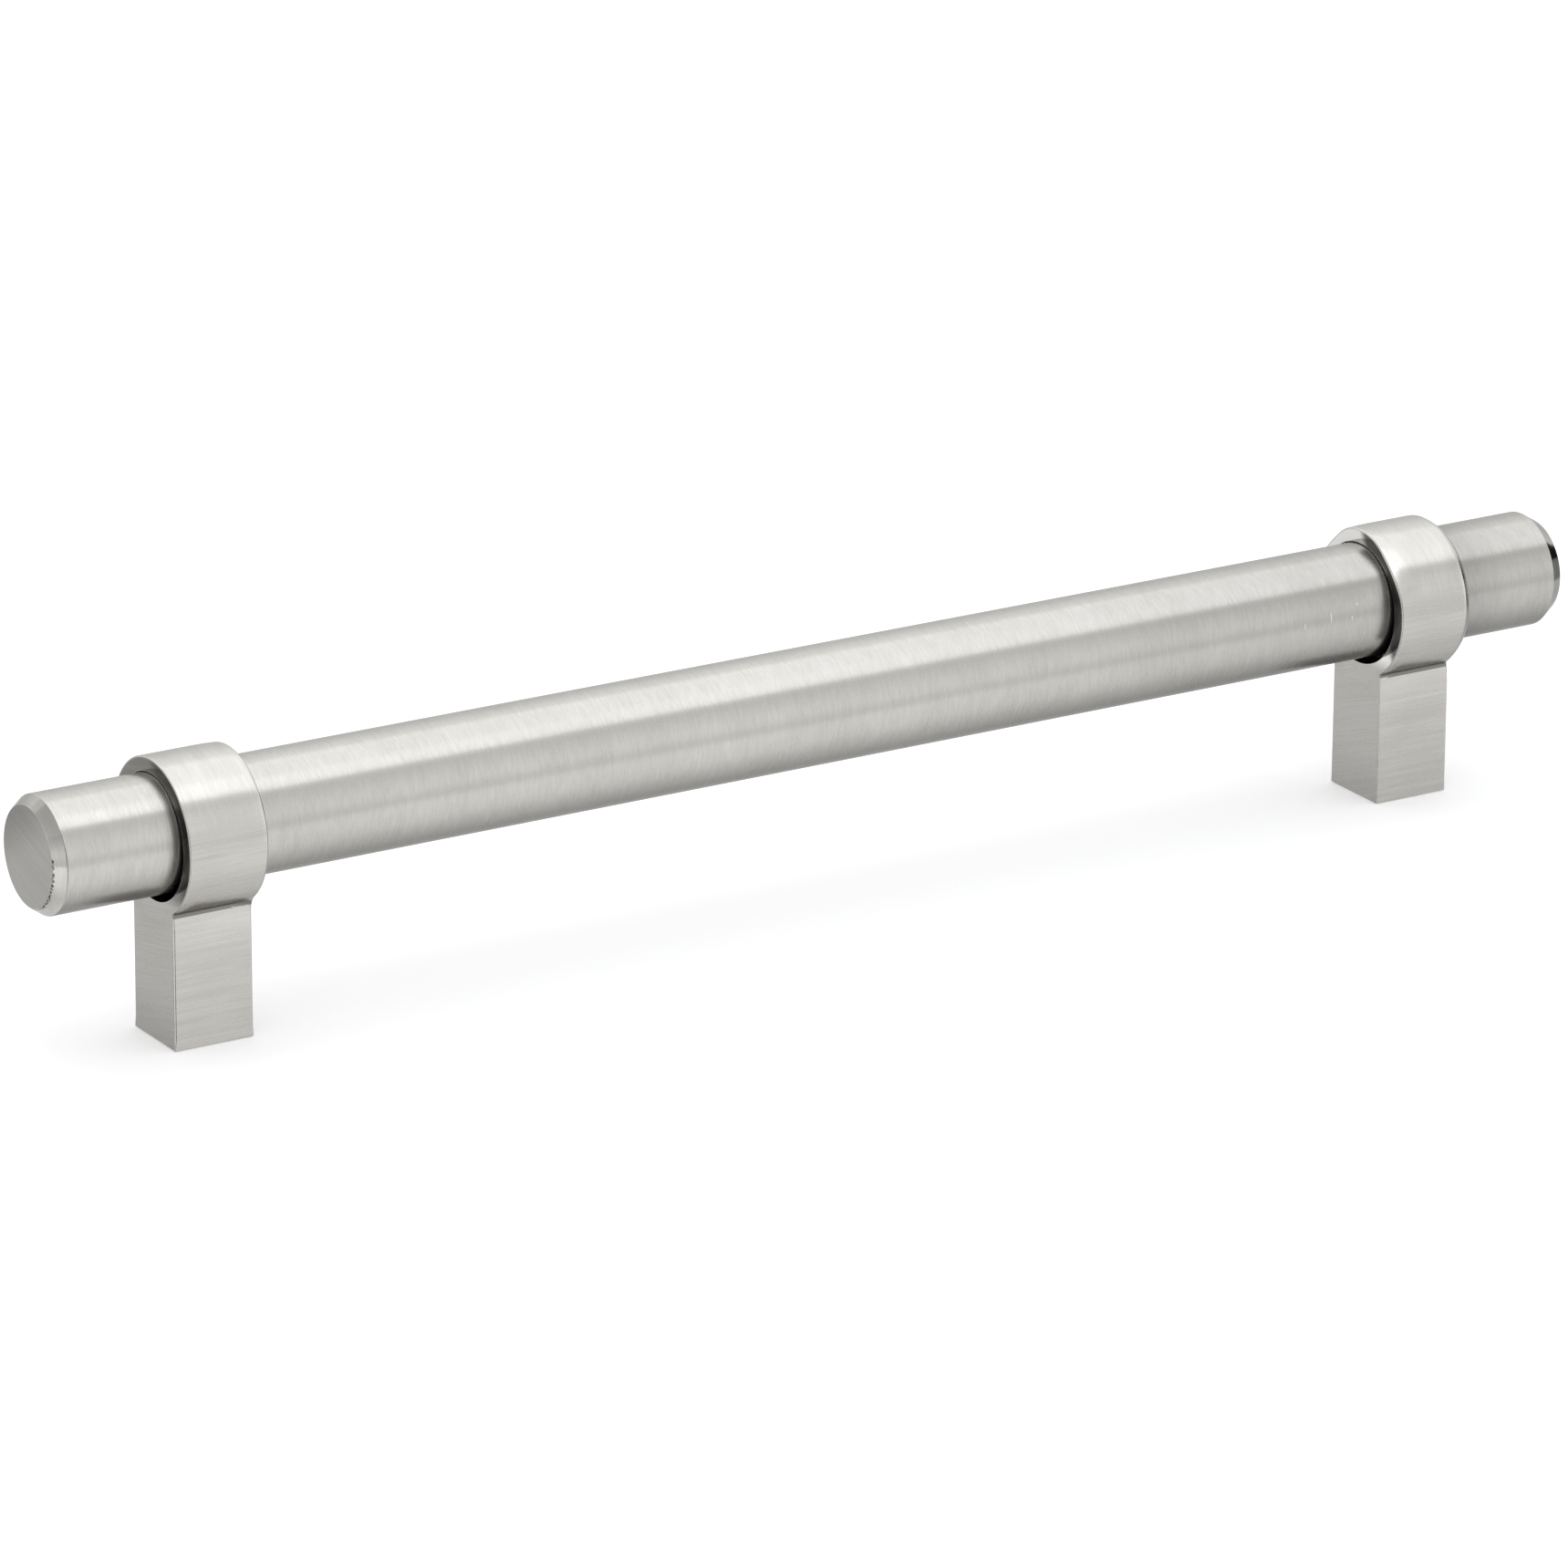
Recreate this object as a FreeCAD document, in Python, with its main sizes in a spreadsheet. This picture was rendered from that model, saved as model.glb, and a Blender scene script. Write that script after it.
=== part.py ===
import FreeCAD, Part
import math
import os
import Sketcher

# Cabinet pull: a round bar held in the collars of two posts.
# Lengths are in millimetres and angles in degrees. X runs along the bar, and +Z points away from the door.
# The origin lies on the door's face, midway between the two screw holes.

# Driving dimensions

DIMENSIONS = {
    "hole_spacing": (160.0, "distance between the two fixing screws"),
    "bar_length": (200.0, "overall length of the bar"),
    "bar_radius": (6.8, "radius of the bar"),
    "end_chamfer_length": (1.35, "chamfer at the bar's ends, measured along the bar"),
    "end_chamfer_depth": (1.0, "chamfer at the bar's ends, measured across the bar"),
    "post_width": (9.8, "post and collar, measured along the bar"),
    "post_depth": (9.4, "column of the post, measured across the bar"),
    "collar_axis_height": (23.6, "centre of the collar above the door"),
    "collar_wall": (1.75, "wall of the collar round its bore"),
    "bore_clearance": (0.45, "radius of the bore beyond that of the bar"),
    "seat_gap": (0.05, "what is left between the top of the bar and the top of the bore"),
    "root_fillet": (0.8, "hollow fillet where the collar meets the column"),
    "middle_edge_round": (0.45, "rounding of the post's edges that face the middle of the pull"),
    "end_edge_break": (0.15, "narrow chamfer on the post's edges that face the ends of the bar"),
    "bore_mouth_chamfer": (0.15, "chamfer round both mouths of the bore"),
    "screw_hole_radius": (1.65, "crests of the thread for the fixing screw"),
    "screw_hole_depth": (10.0, "depth of that thread from the foot"),
    "screw_mouth_radius": (2.15, "countersunk mouth of the screw hole at the foot"),
    "grub_hole_radius": (1.25, "crests of the thread for the grub screw"),
    "grub_clearance": (0.02, "what is left between those crests and the core of the grub screw"),
    "grub_length": (5.0, "overall length of the grub screw"),
    "grub_chamfer": (0.25, "chamfer at the driven end of the grub screw"),
    "grub_socket_width": (1.5, "hexagon socket across its flats"),
    "grub_socket_depth": (1.6, "depth of the hexagon socket"),
    "spot_depth": (0.6, "conical spot in the bar that takes the grub screw's point"),
    "spot_gap": (0.05, "what is left between the point and the bottom of its spot"),
}

# Sizes that follow from the driving dimensions

BORE_RADIUS = "(Dimensions.bar_radius + Dimensions.bore_clearance)"
COLLAR_RADIUS = "(Dimensions.bar_radius + Dimensions.bore_clearance + Dimensions.collar_wall)"
GRUB_RADIUS = "(Dimensions.grub_hole_radius - Dimensions.grub_clearance)"
BAR_AXIS_HEIGHT = "(Dimensions.collar_axis_height + Dimensions.bore_clearance - Dimensions.seat_gap)"
GRUB_TIP_HEIGHT = f"({BAR_AXIS_HEIGHT} - Dimensions.bar_radius + Dimensions.spot_depth - Dimensions.spot_gap)"
HALF_SPACING = "Dimensions.hole_spacing / 2"

# The numbers that sketches use for the points of a curve and for their own two axes

START, END, CENTRE = range(1, 4)
HORIZONTAL_AXIS, VERTICAL_AXIS = range(-1, -3, -1)
ORIGIN_POINT = (HORIZONTAL_AXIS, START)
TOLERANCE = 1e-6


def make_sheet(doc):
    """Writes the driving dimensions into a spreadsheet, one row each."""
    sheet = doc.addObject("Spreadsheet::Sheet", "Dimensions")
    for row, (alias, (value, meaning)) in enumerate(DIMENSIONS.items(), start=1):
        sheet.set(f"A{row}", alias)
        sheet.set(f"B{row}", str(value))
        sheet.set(f"C{row}", meaning)
        sheet.setAlias(f"B{row}", alias)
    doc.recompute()
    return sheet


# Helpers for bodies, sketches and edges


def make_body(doc, label):
    """Adds an empty body with the given name and label."""
    body = doc.addObject("PartDesign::Body", label)
    body.Label = label
    return body


def origin_feature(body, role):
    """Finds one of a body's own origin planes or axes by its role."""
    return next(item for item in body.Origin.OriginFeatures if item.Role == role)


def add_sketch(body, name, plane):
    """Adds a sketch that lies on one of the body's origin planes."""
    sketch = body.newObject("Sketcher::SketchObject", name)
    sketch.AttachmentSupport = [(origin_feature(body, plane), "")]
    sketch.MapMode = "FlatFace"
    body.Document.recompute()
    return sketch


def value_of(sketch, expression):
    """Works out an expression on the sheet as a plain number."""
    return float(sketch.evalExpression(expression))


def bind_constraint(sketch, kind, *geometry, name, expression):
    """Adds a dimension to a sketch and binds it to an expression on the sheet."""
    index = sketch.addConstraint(Sketcher.Constraint(kind, *geometry, value_of(sketch, expression)))
    sketch.renameConstraint(index, name)
    sketch.setExpression(f"Constraints.{name}", expression)


def add_polygon(sketch, corners):
    """Draws a closed outline through corners given as pairs of expressions, and binds each corner to them."""
    points = [FreeCAD.Vector(value_of(sketch, x), value_of(sketch, y), 0) for x, y in corners]
    count = len(points)
    lines = [sketch.addGeometry(Part.LineSegment(points[i], points[(i + 1) % count])) for i in range(count)]
    for i in range(count):
        sketch.addConstraint(Sketcher.Constraint("Coincident", lines[i], END, lines[(i + 1) % count], START))
    for i, (x, y) in enumerate(corners):
        for kind, axis, expression in (("DistanceX", VERTICAL_AXIS, x), ("DistanceY", HORIZONTAL_AXIS, y)):
            if expression == "0":
                sketch.addConstraint(Sketcher.Constraint("PointOnObject", lines[i], START, axis))
            else:
                bind_constraint(
                    sketch, kind, *ORIGIN_POINT, lines[i], START, name=f"{kind}_{i}", expression=expression
                )


def add_axis_line(sketch, x_expression):
    """Draws an upright construction line at the given place, for a feature to turn about, and returns its name."""
    x = value_of(sketch, x_expression)
    line = sketch.addGeometry(Part.LineSegment(FreeCAD.Vector(x, 0, 0), FreeCAD.Vector(x, 1, 0)), True)
    sketch.addConstraint(Sketcher.Constraint("Vertical", line))
    sketch.addConstraint(Sketcher.Constraint("PointOnObject", line, START, HORIZONTAL_AXIS))
    bind_constraint(sketch, "DistanceX", *ORIGIN_POINT, line, START, name="axis_place", expression=x_expression)
    bind_constraint(sketch, "Distance", line, name="axis_length", expression="1")
    return "Axis0"


def revolve(body, kind, name, sketch, axis):
    """Turns a sketch a full turn about one of its axes, as an added or a removed solid."""
    feature = body.newObject(f"PartDesign::{kind}", name)
    feature.Profile = sketch
    feature.ReferenceAxis = (sketch, [axis])
    feature.Angle = 360
    body.Document.recompute()
    return feature


def edge_names(shape, wanted):
    """Names the edges of a shape that pass a test."""
    return [f"Edge{i}" for i, edge in enumerate(shape.Edges, start=1) if wanted(edge)]


def lies_in_plane(edge, x):
    """Says whether an edge lies in the plane at the given X."""
    return abs(edge.BoundBox.XMin - x) < TOLERANCE and abs(edge.BoundBox.XMax - x) < TOLERANCE


def dress_edges(body, kind, name, edges, size_property, expression):
    """Adds a fillet or a chamfer on the named edges of the body's last feature."""
    base = body.Tip
    feature = body.newObject(f"PartDesign::{kind}", name)
    feature.Base = (base, edges)
    feature.setExpression(size_property, expression)
    body.Document.recompute()
    return feature


# Bar: turned from round stock, with a spot on its underside for each grub screw


def make_bar(doc):
    """Turns the bar about X and drills the two spots."""
    body = make_body(doc, "bar")
    turning = add_sketch(body, "BarTurning", "XZ_Plane")
    half_length = "Dimensions.bar_length / 2"
    shoulder = f"({half_length} - Dimensions.end_chamfer_length)"
    face_radius = "Dimensions.bar_radius - Dimensions.end_chamfer_depth"
    add_polygon(
        turning,
        [
            (f"-({half_length})", "0"),
            (f"-({half_length})", face_radius),
            (f"-{shoulder}", "Dimensions.bar_radius"),
            (shoulder, "Dimensions.bar_radius"),
            (half_length, face_radius),
            (half_length, "0"),
        ],
    )
    revolve(body, "Revolution", "BarBlank", turning, "H_Axis")

    drilling = add_sketch(body, "SpotDrilling", "XZ_Plane")
    tip_level = "-(Dimensions.bar_radius - Dimensions.spot_depth)"
    mouth_level = "-(Dimensions.bar_radius + Dimensions.spot_depth)"
    axis = add_axis_line(drilling, HALF_SPACING)
    add_polygon(
        drilling,
        [
            (HALF_SPACING, tip_level),
            (f"{HALF_SPACING} + 2 * Dimensions.spot_depth", mouth_level),
            (HALF_SPACING, mouth_level),
        ],
    )
    spot = revolve(body, "Groove", "Spot", drilling, axis)
    both = body.newObject("PartDesign::Mirrored", "BothSpots")
    both.Originals = [spot]
    both.MirrorPlane = (origin_feature(body, "YZ_Plane"), [""])
    body.Tip = both
    body.setExpression(".Placement.Base.z", BAR_AXIS_HEIGHT)
    return body


# Posts: one casting each, with its own +X facing the middle of the pull


def draw_post_outline(sketch):
    """Draws the column and the collar as one outline, joined by hollow fillets."""
    half_depth = value_of(sketch, "Dimensions.post_depth / 2")
    fillet = value_of(sketch, "Dimensions.root_fillet")
    collar = value_of(sketch, COLLAR_RADIUS)
    height = value_of(sketch, "Dimensions.collar_axis_height")
    reach = collar + fillet
    drop = math.sqrt(reach**2 - (half_depth + fillet) ** 2)
    root_level = height - drop
    lean = math.atan2(drop, half_depth + fillet)
    upright = FreeCAD.Vector(0, 0, 1)

    def corner(y, z):
        return FreeCAD.Vector(y, z, 0)

    def arc(y, z, radius, first, last):
        return Part.ArcOfCircle(Part.Circle(corner(y, z), upright, radius), first, last)

    foot = sketch.addGeometry(Part.LineSegment(corner(-half_depth, 0), corner(half_depth, 0)))
    back = sketch.addGeometry(Part.LineSegment(corner(half_depth, 0), corner(half_depth, root_level)))
    back_root = sketch.addGeometry(arc(half_depth + fillet, root_level, fillet, math.pi - lean, math.pi))
    round_top = sketch.addGeometry(arc(0, height, collar, -lean, math.pi + lean))
    front_root = sketch.addGeometry(arc(-half_depth - fillet, root_level, fillet, 0, lean))
    front = sketch.addGeometry(Part.LineSegment(corner(-half_depth, root_level), corner(-half_depth, 0)))

    sketch.addConstraint(
        [
            Sketcher.Constraint("Coincident", foot, END, back, START),
            Sketcher.Constraint("Tangent", back, END, back_root, END),
            Sketcher.Constraint("Tangent", back_root, START, round_top, START),
            Sketcher.Constraint("Tangent", round_top, END, front_root, END),
            Sketcher.Constraint("Tangent", front_root, START, front, START),
            Sketcher.Constraint("Coincident", front, END, foot, START),
            Sketcher.Constraint("PointOnObject", foot, START, HORIZONTAL_AXIS),
            Sketcher.Constraint("Symmetric", foot, START, foot, END, VERTICAL_AXIS),
            Sketcher.Constraint("Vertical", back),
            Sketcher.Constraint("Vertical", front),
            Sketcher.Constraint("PointOnObject", round_top, CENTRE, VERTICAL_AXIS),
            Sketcher.Constraint("Equal", back_root, front_root),
        ]
    )
    bind_constraint(
        sketch, "DistanceX", foot, START, foot, END, name="column_depth", expression="Dimensions.post_depth"
    )
    bind_constraint(
        sketch,
        "DistanceY",
        *ORIGIN_POINT,
        round_top,
        CENTRE,
        name="axis_height",
        expression="Dimensions.collar_axis_height",
    )
    bind_constraint(sketch, "Radius", round_top, name="collar_radius", expression=COLLAR_RADIUS)
    bind_constraint(sketch, "Radius", back_root, name="root_radius", expression="Dimensions.root_fillet")


def draw_bore(sketch):
    """Draws the bore's circle about the collar's centre."""
    centre = FreeCAD.Vector(0, value_of(sketch, "Dimensions.collar_axis_height"), 0)
    radius = value_of(sketch, BORE_RADIUS)
    circle = sketch.addGeometry(Part.Circle(centre, FreeCAD.Vector(0, 0, 1), radius))
    sketch.addConstraint(Sketcher.Constraint("PointOnObject", circle, CENTRE, VERTICAL_AXIS))
    bind_constraint(
        sketch,
        "DistanceY",
        *ORIGIN_POINT,
        circle,
        CENTRE,
        name="axis_height",
        expression="Dimensions.collar_axis_height",
    )
    bind_constraint(sketch, "Radius", circle, name="bore_radius", expression=BORE_RADIUS)


def draw_screw_hole(sketch):
    """Draws half the stepped hole: a countersunk mouth, the fixing screw's thread, then the grub screw's thread."""
    mouth_depth = "Dimensions.screw_mouth_radius - Dimensions.screw_hole_radius"
    add_polygon(
        sketch,
        [
            ("0", "0"),
            ("Dimensions.screw_mouth_radius", "0"),
            ("Dimensions.screw_hole_radius", mouth_depth),
            ("Dimensions.screw_hole_radius", "Dimensions.screw_hole_depth"),
            ("Dimensions.grub_hole_radius", "Dimensions.screw_hole_depth"),
            ("Dimensions.grub_hole_radius", "Dimensions.collar_axis_height"),
            ("0", "Dimensions.collar_axis_height"),
        ],
    )


def make_post(doc, label, side):
    """Builds one post and stands it at its screw hole: side is -1 at the left and +1 at the right."""
    body = make_body(doc, label)
    outline = add_sketch(body, f"{label}_outline", "YZ_Plane")
    draw_post_outline(outline)
    casting = body.newObject("PartDesign::Pad", f"{label}_casting")
    casting.Profile = outline
    casting.SideType = "Symmetric"
    casting.setExpression("Length", "Dimensions.post_width")
    doc.recompute()

    bore_circle = add_sketch(body, f"{label}_bore_circle", "YZ_Plane")
    draw_bore(bore_circle)
    bore = body.newObject("PartDesign::Pocket", f"{label}_bore")
    bore.Profile = bore_circle
    bore.SideType = "Two sides"
    bore.Type = "ThroughAll"
    bore.Type2 = "ThroughAll"
    doc.recompute()

    hole_section = add_sketch(body, f"{label}_hole_section", "XZ_Plane")
    draw_screw_hole(hole_section)
    revolve(body, "Groove", f"{label}_screw_hole", hole_section, "V_Axis")

    dress_post_edges(body, label, value_of(outline, "Dimensions.post_width / 2"))

    body.setExpression(".Placement.Base.x", f"{side} * {HALF_SPACING}")
    if side > 0:
        body.Placement.Rotation = FreeCAD.Rotation(FreeCAD.Vector(0, 0, 1), 180)
    return body


def dress_post_edges(body, label, half_width):
    """Rounds the outline of the face towards the middle, breaks the other's, and chamfers the bore's mouths."""
    for kind, name, x, size_property, size in (
        ("Fillet", "middle_edges", half_width, "Radius", "Dimensions.middle_edge_round"),
        ("Chamfer", "end_edges", -half_width, "Size", "Dimensions.end_edge_break"),
    ):
        outline = edge_names(
            body.Tip.Shape,
            lambda edge, x=x: lies_in_plane(edge, x) and not edge.Closed and edge.BoundBox.ZMax > TOLERANCE,
        )
        dress_edges(body, kind, f"{label}_{name}", outline, size_property, size)
    mouths = edge_names(
        body.Tip.Shape,
        lambda edge: edge.Closed and (lies_in_plane(edge, half_width) or lies_in_plane(edge, -half_width)),
    )
    dress_edges(body, "Chamfer", f"{label}_bore_mouths", mouths, "Size", "Dimensions.bore_mouth_chamfer")


# Grub screws: two alike, hidden in the posts, each with a hexagon socket below and a cone point above


def make_grub_screws(doc):
    """Turns one grub screw about Z, sinks its socket and repeats it at the other post."""
    body = make_body(doc, "grub_screws")
    turning = add_sketch(body, "GrubTurning", "XZ_Plane")
    chamfered_radius = f"{GRUB_RADIUS} - Dimensions.grub_chamfer"
    cone_base = f"Dimensions.grub_length - {GRUB_RADIUS}"
    add_polygon(
        turning,
        [
            ("0", "0"),
            (chamfered_radius, "0"),
            (GRUB_RADIUS, "Dimensions.grub_chamfer"),
            (GRUB_RADIUS, cone_base),
            ("0", "Dimensions.grub_length"),
        ],
    )
    blank = revolve(body, "Revolution", "GrubBlank", turning, "V_Axis")

    hexagon = add_sketch(body, "GrubHexagon", "XY_Plane")
    reach = "Dimensions.grub_socket_width / 2 / cos(30 deg)"
    corner_angles = range(15, 375, 60)
    add_polygon(hexagon, [(f"{reach} * cos({angle} deg)", f"{reach} * sin({angle} deg)") for angle in corner_angles])
    socket = body.newObject("PartDesign::Pocket", "GrubSocket")
    socket.Profile = hexagon
    socket.Reversed = True
    socket.setExpression("Length", "Dimensions.grub_socket_depth")
    doc.recompute()

    pair = body.newObject("PartDesign::LinearPattern", "GrubPair")
    pair.Originals = [blank, socket]
    pair.Direction = (origin_feature(body, "X_Axis"), [""])
    pair.Occurrences = 2
    pair.setExpression("Length", "Dimensions.hole_spacing")
    body.Tip = pair
    body.setExpression(".Placement.Base.x", f"-{HALF_SPACING}")
    body.setExpression(".Placement.Base.z", f"{GRUB_TIP_HEIGHT} - Dimensions.grub_length")
    return body


# Build, check and write


def check_document(doc, bodies):
    """Stops with a message where a feature has failed or a piece isn't a sound solid."""
    for item in doc.Objects:
        if {"Invalid", "Error"} & set(item.State):
            raise RuntimeError(f"{item.Name} has failed: {item.State}")
    for body in bodies:
        if body.Shape.isNull() or not body.Shape.isValid() or not body.Shape.Solids:
            raise RuntimeError(f"{body.Label} is not a sound solid")


def check_cuts(doc):
    """Stops where a cut or a rounding has taken nothing from the solid it works on."""
    for item in doc.Objects:
        if item.TypeId in ("PartDesign::Pocket", "PartDesign::Groove", "PartDesign::Fillet", "PartDesign::Chamfer"):
            if item.BaseFeature.Shape.Volume - item.Shape.Volume < TOLERANCE:
                raise RuntimeError(f"{item.Name} cuts nothing")


def main():
    """Builds the pull's pieces and writes each to a file of its own."""
    doc = FreeCAD.newDocument("CabinetPull")
    make_sheet(doc)
    bodies = [
        make_bar(doc),
        make_post(doc, "left_post", -1),
        make_post(doc, "right_post", 1),
        make_grub_screws(doc),
    ]
    doc.recompute()
    check_document(doc, bodies)
    check_cuts(doc)
    os.makedirs("parts", exist_ok=True)
    for body in bodies:
        body.Shape.exportStep(f"parts/{body.Label}.step")
        print(body.Label, len(body.Shape.Solids), round(body.Shape.Volume, 3), body.Shape.BoundBox)


main()
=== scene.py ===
"""A satin nickel cabinet pull: a round bar in two collared posts, dressed and lit for a product picture."""

import logging
import math
import random
from collections.abc import Callable, Iterable, Sequence
from dataclasses import dataclass
from enum import Enum
from itertools import pairwise

import bmesh
import bpy
from mathutils import Matrix, Vector


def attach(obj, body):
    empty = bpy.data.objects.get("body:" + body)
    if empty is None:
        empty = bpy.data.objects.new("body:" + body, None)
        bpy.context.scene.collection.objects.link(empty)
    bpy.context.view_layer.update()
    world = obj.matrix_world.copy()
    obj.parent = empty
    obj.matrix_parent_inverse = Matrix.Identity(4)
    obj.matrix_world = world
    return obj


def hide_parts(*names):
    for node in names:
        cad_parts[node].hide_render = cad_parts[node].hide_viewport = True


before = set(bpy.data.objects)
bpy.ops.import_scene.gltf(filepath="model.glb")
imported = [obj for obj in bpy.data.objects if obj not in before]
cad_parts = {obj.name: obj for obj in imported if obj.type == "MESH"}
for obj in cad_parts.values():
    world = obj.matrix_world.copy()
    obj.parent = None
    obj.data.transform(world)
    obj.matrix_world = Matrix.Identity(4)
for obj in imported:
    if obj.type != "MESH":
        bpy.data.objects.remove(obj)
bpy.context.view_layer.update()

LOG = logging.getLogger("cabinet_pull")
MM = 0.001
WELD = 1e-7
BODY = "root"

Point = tuple[float, float]
Triple = tuple[float, float, float]
Verts = list[bmesh.types.BMVert]

ALONG: Triple = (1.0, 0.0, 0.0)
UPWARDS: Triple = (0.0, 0.0, 1.0)
WHITE: Triple = (1.0, 1.0, 1.0)


class Slot(Enum):
    """The record's material slots, by their names."""

    BAR = "bar_nickel"
    POST = "post_nickel"
    SCREW = "screw_steel"


class Mark(Enum):
    """Names of the mesh attributes that the finishes and the turning tree read."""

    ACROSS = "across_grain"
    FRONT = "lower_front"
    EDGE = "worn_edge"
    ROOT = "root_shade"
    GROOVE_DEPTH = "groove_depth"
    GROOVE_PITCH = "groove_pitch"


class Axis(Enum):
    """The line that a turned piece is turned round: the bar's, or one that stands upright."""

    ALONG_BAR = True
    UPRIGHT = False


def unit(degrees: float) -> Point:
    """Returns the cosine and sine of an angle in degrees."""
    return math.cos(math.radians(degrees)), math.sin(math.radians(degrees))


def arc(start: float, sweep: float, steps: int) -> list[Point]:
    """Returns the cosines and sines of evenly stepped angles in degrees, both ends included."""
    return [unit(start + sweep * step / steps) for step in range(steps + 1)]


def flow(low: float, high: float, value: float) -> float:
    """Returns 0 below low, 1 above high and a smooth step between them."""
    share = min(max((value - low) / (high - low), 0.0), 1.0)
    return share * share * (3.0 - 2.0 * share)


def rgba(colour: Triple) -> tuple[float, float, float, float]:
    """Returns a colour with full alpha."""
    return (*colour, 1.0)


# Drawing node trees


def arithmetic(operation: str, swapped: bool = False) -> Callable[["Value", object], "Value"]:
    """Returns an operator that adds a math node, with its two sides swapped where asked."""

    def combined(own: "Value", other: object) -> "Value":
        """Returns the node's result."""
        return own.canvas.math(operation, *((other, own) if swapped else (own, other)))

    return combined


class Value:
    """What a node puts out, which takes plain arithmetic."""

    def __init__(self, canvas: "Canvas", socket: bpy.types.NodeSocket) -> None:
        """Keeps the drawing and the socket."""
        self.canvas = canvas
        self.socket = socket

    __add__ = __radd__ = arithmetic("ADD")
    __mul__ = __rmul__ = arithmetic("MULTIPLY")
    __sub__ = arithmetic("SUBTRACT")
    __rsub__ = arithmetic("SUBTRACT", swapped=True)
    __truediv__ = arithmetic("DIVIDE")
    __rtruediv__ = arithmetic("DIVIDE", swapped=True)


Feeds = dict[str | int, object]


class Canvas:
    """A node tree that is being drawn, with short calls for its nodes."""

    def __init__(self, tree: bpy.types.NodeTree) -> None:
        """Keeps the tree."""
        self.tree = tree

    @classmethod
    def over(cls, owner: bpy.types.Material | bpy.types.World) -> "Canvas":
        """Returns the emptied node tree of a material or a world."""
        owner.use_nodes = True
        owner.node_tree.nodes.clear()
        return cls(owner.node_tree)

    def node(self, kind: str, feeds: Feeds | None = None, **settings: object) -> bpy.types.Node:
        """Adds a node.

        Args:
            kind: the node's type name.
            feeds: what each input gets, by its name or place: a value to link, or anything else to write.
            settings: properties that are set first.

        Returns:
            The new node.
        """
        made = self.tree.nodes.new(kind)
        for name, setting in settings.items():
            setattr(made, name, setting)
        for key, fed in (feeds or {}).items():
            if isinstance(fed, Value):
                self.tree.links.new(fed.socket, made.inputs[key])
            else:
                made.inputs[key].default_value = fed
        return made

    def value(self, kind: str, feeds: Feeds | None = None, out: str | int = 0, **settings: object) -> Value:
        """Adds a node in the same way, and returns one of its outputs."""
        return Value(self, self.node(kind, feeds, **settings).outputs[out])

    def math(self, operation: str, *values: object, clamp: bool = False) -> Value:
        """Returns the result of a math node."""
        return self.value("ShaderNodeMath", dict(enumerate(values)), operation=operation, use_clamp=clamp)

    def vector(self, operation: str, *values: object, out: str = "Vector") -> Value:
        """Returns the result of a vector math node."""
        return self.value("ShaderNodeVectorMath", dict(enumerate(values)), out, operation=operation)

    def scale(self, vector: Value, factor: object) -> Value:
        """Returns a vector or a colour times a factor."""
        return self.value("ShaderNodeVectorMath", {0: vector, "Scale": factor}, "Vector", operation="SCALE")

    def length(self, vector: Value) -> Value:
        """Returns a vector's length."""
        return self.vector("LENGTH", vector, out="Value")

    def dot(self, first: Value, second: Triple) -> Value:
        """Returns the dot product of two vectors."""
        return self.vector("DOT_PRODUCT", first, second, out="Value")

    def combine(self, *parts: object) -> Value:
        """Returns the vector of three parts."""
        return self.value("ShaderNodeCombineXYZ", dict(enumerate(parts)))

    def separate(self, vector: Value) -> list[Value]:
        """Returns the three parts of a vector."""
        return [Value(self, part) for part in self.node("ShaderNodeSeparateXYZ", {0: vector}).outputs]

    def ramp(self, value: Value, low: float, high: float, start: float = 0.0, end: float = 1.0) -> Value:
        """Returns value taken smoothly from low..high to start..end, and held at both ends."""
        feeds = {"Value": value, "From Min": low, "From Max": high, "To Min": start, "To Max": end}
        return self.value("ShaderNodeMapRange", feeds, "Result", interpolation_type="SMOOTHSTEP")

    def mix(self, factor: Value, first: object, second: object) -> Value:
        """Returns first where factor is 0 and second where it is 1, as numbers."""
        return self.value("ShaderNodeMix", {0: factor, 2: first, 3: second}, data_type="FLOAT")

    def blend(self, factor: Value, first: object, second: object) -> Value:
        """Returns first where factor is 0 and second where it is 1, as colours."""
        return self.value("ShaderNodeMix", {0: factor, 6: first, 7: second}, 2, data_type="RGBA")

    def mark(self, mark: Mark, out: str = "Fac") -> Value:
        """Returns a mesh attribute, for a material."""
        return self.value("ShaderNodeAttribute", out=out, attribute_name=mark.value)

    def noise(
        self, place: Value, scale: float, detail: float, roughness: float = 0.5, out: str | int = 0
    ) -> Value:
        """Returns a noise texture's value, or its colour."""
        feeds = {"Vector": place, "Scale": scale, "Detail": detail, "Roughness": roughness}
        return self.value("ShaderNodeTexNoise", feeds, out)

    def cells(self, place: Value, size: Value) -> list[Value]:
        """Returns the distance to the nearest cell's middle and two random numbers of that cell."""
        feeds = {"Vector": self.scale(place, 1.0 / size), "Scale": 1.0}
        made = self.node("ShaderNodeTexVoronoi", feeds, feature="F1")
        chance, play, _ = self.separate(Value(self, made.outputs["Color"]))
        return [Value(self, made.outputs["Distance"]), chance, play]

    def total(self, values: Sequence[Value], weights: Sequence[float]) -> Value:
        """Returns the sum of the values times their weights."""
        total, *rest = (value * weight for value, weight in zip(values, weights))
        for part in rest:
            total = total + part
        return total


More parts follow.
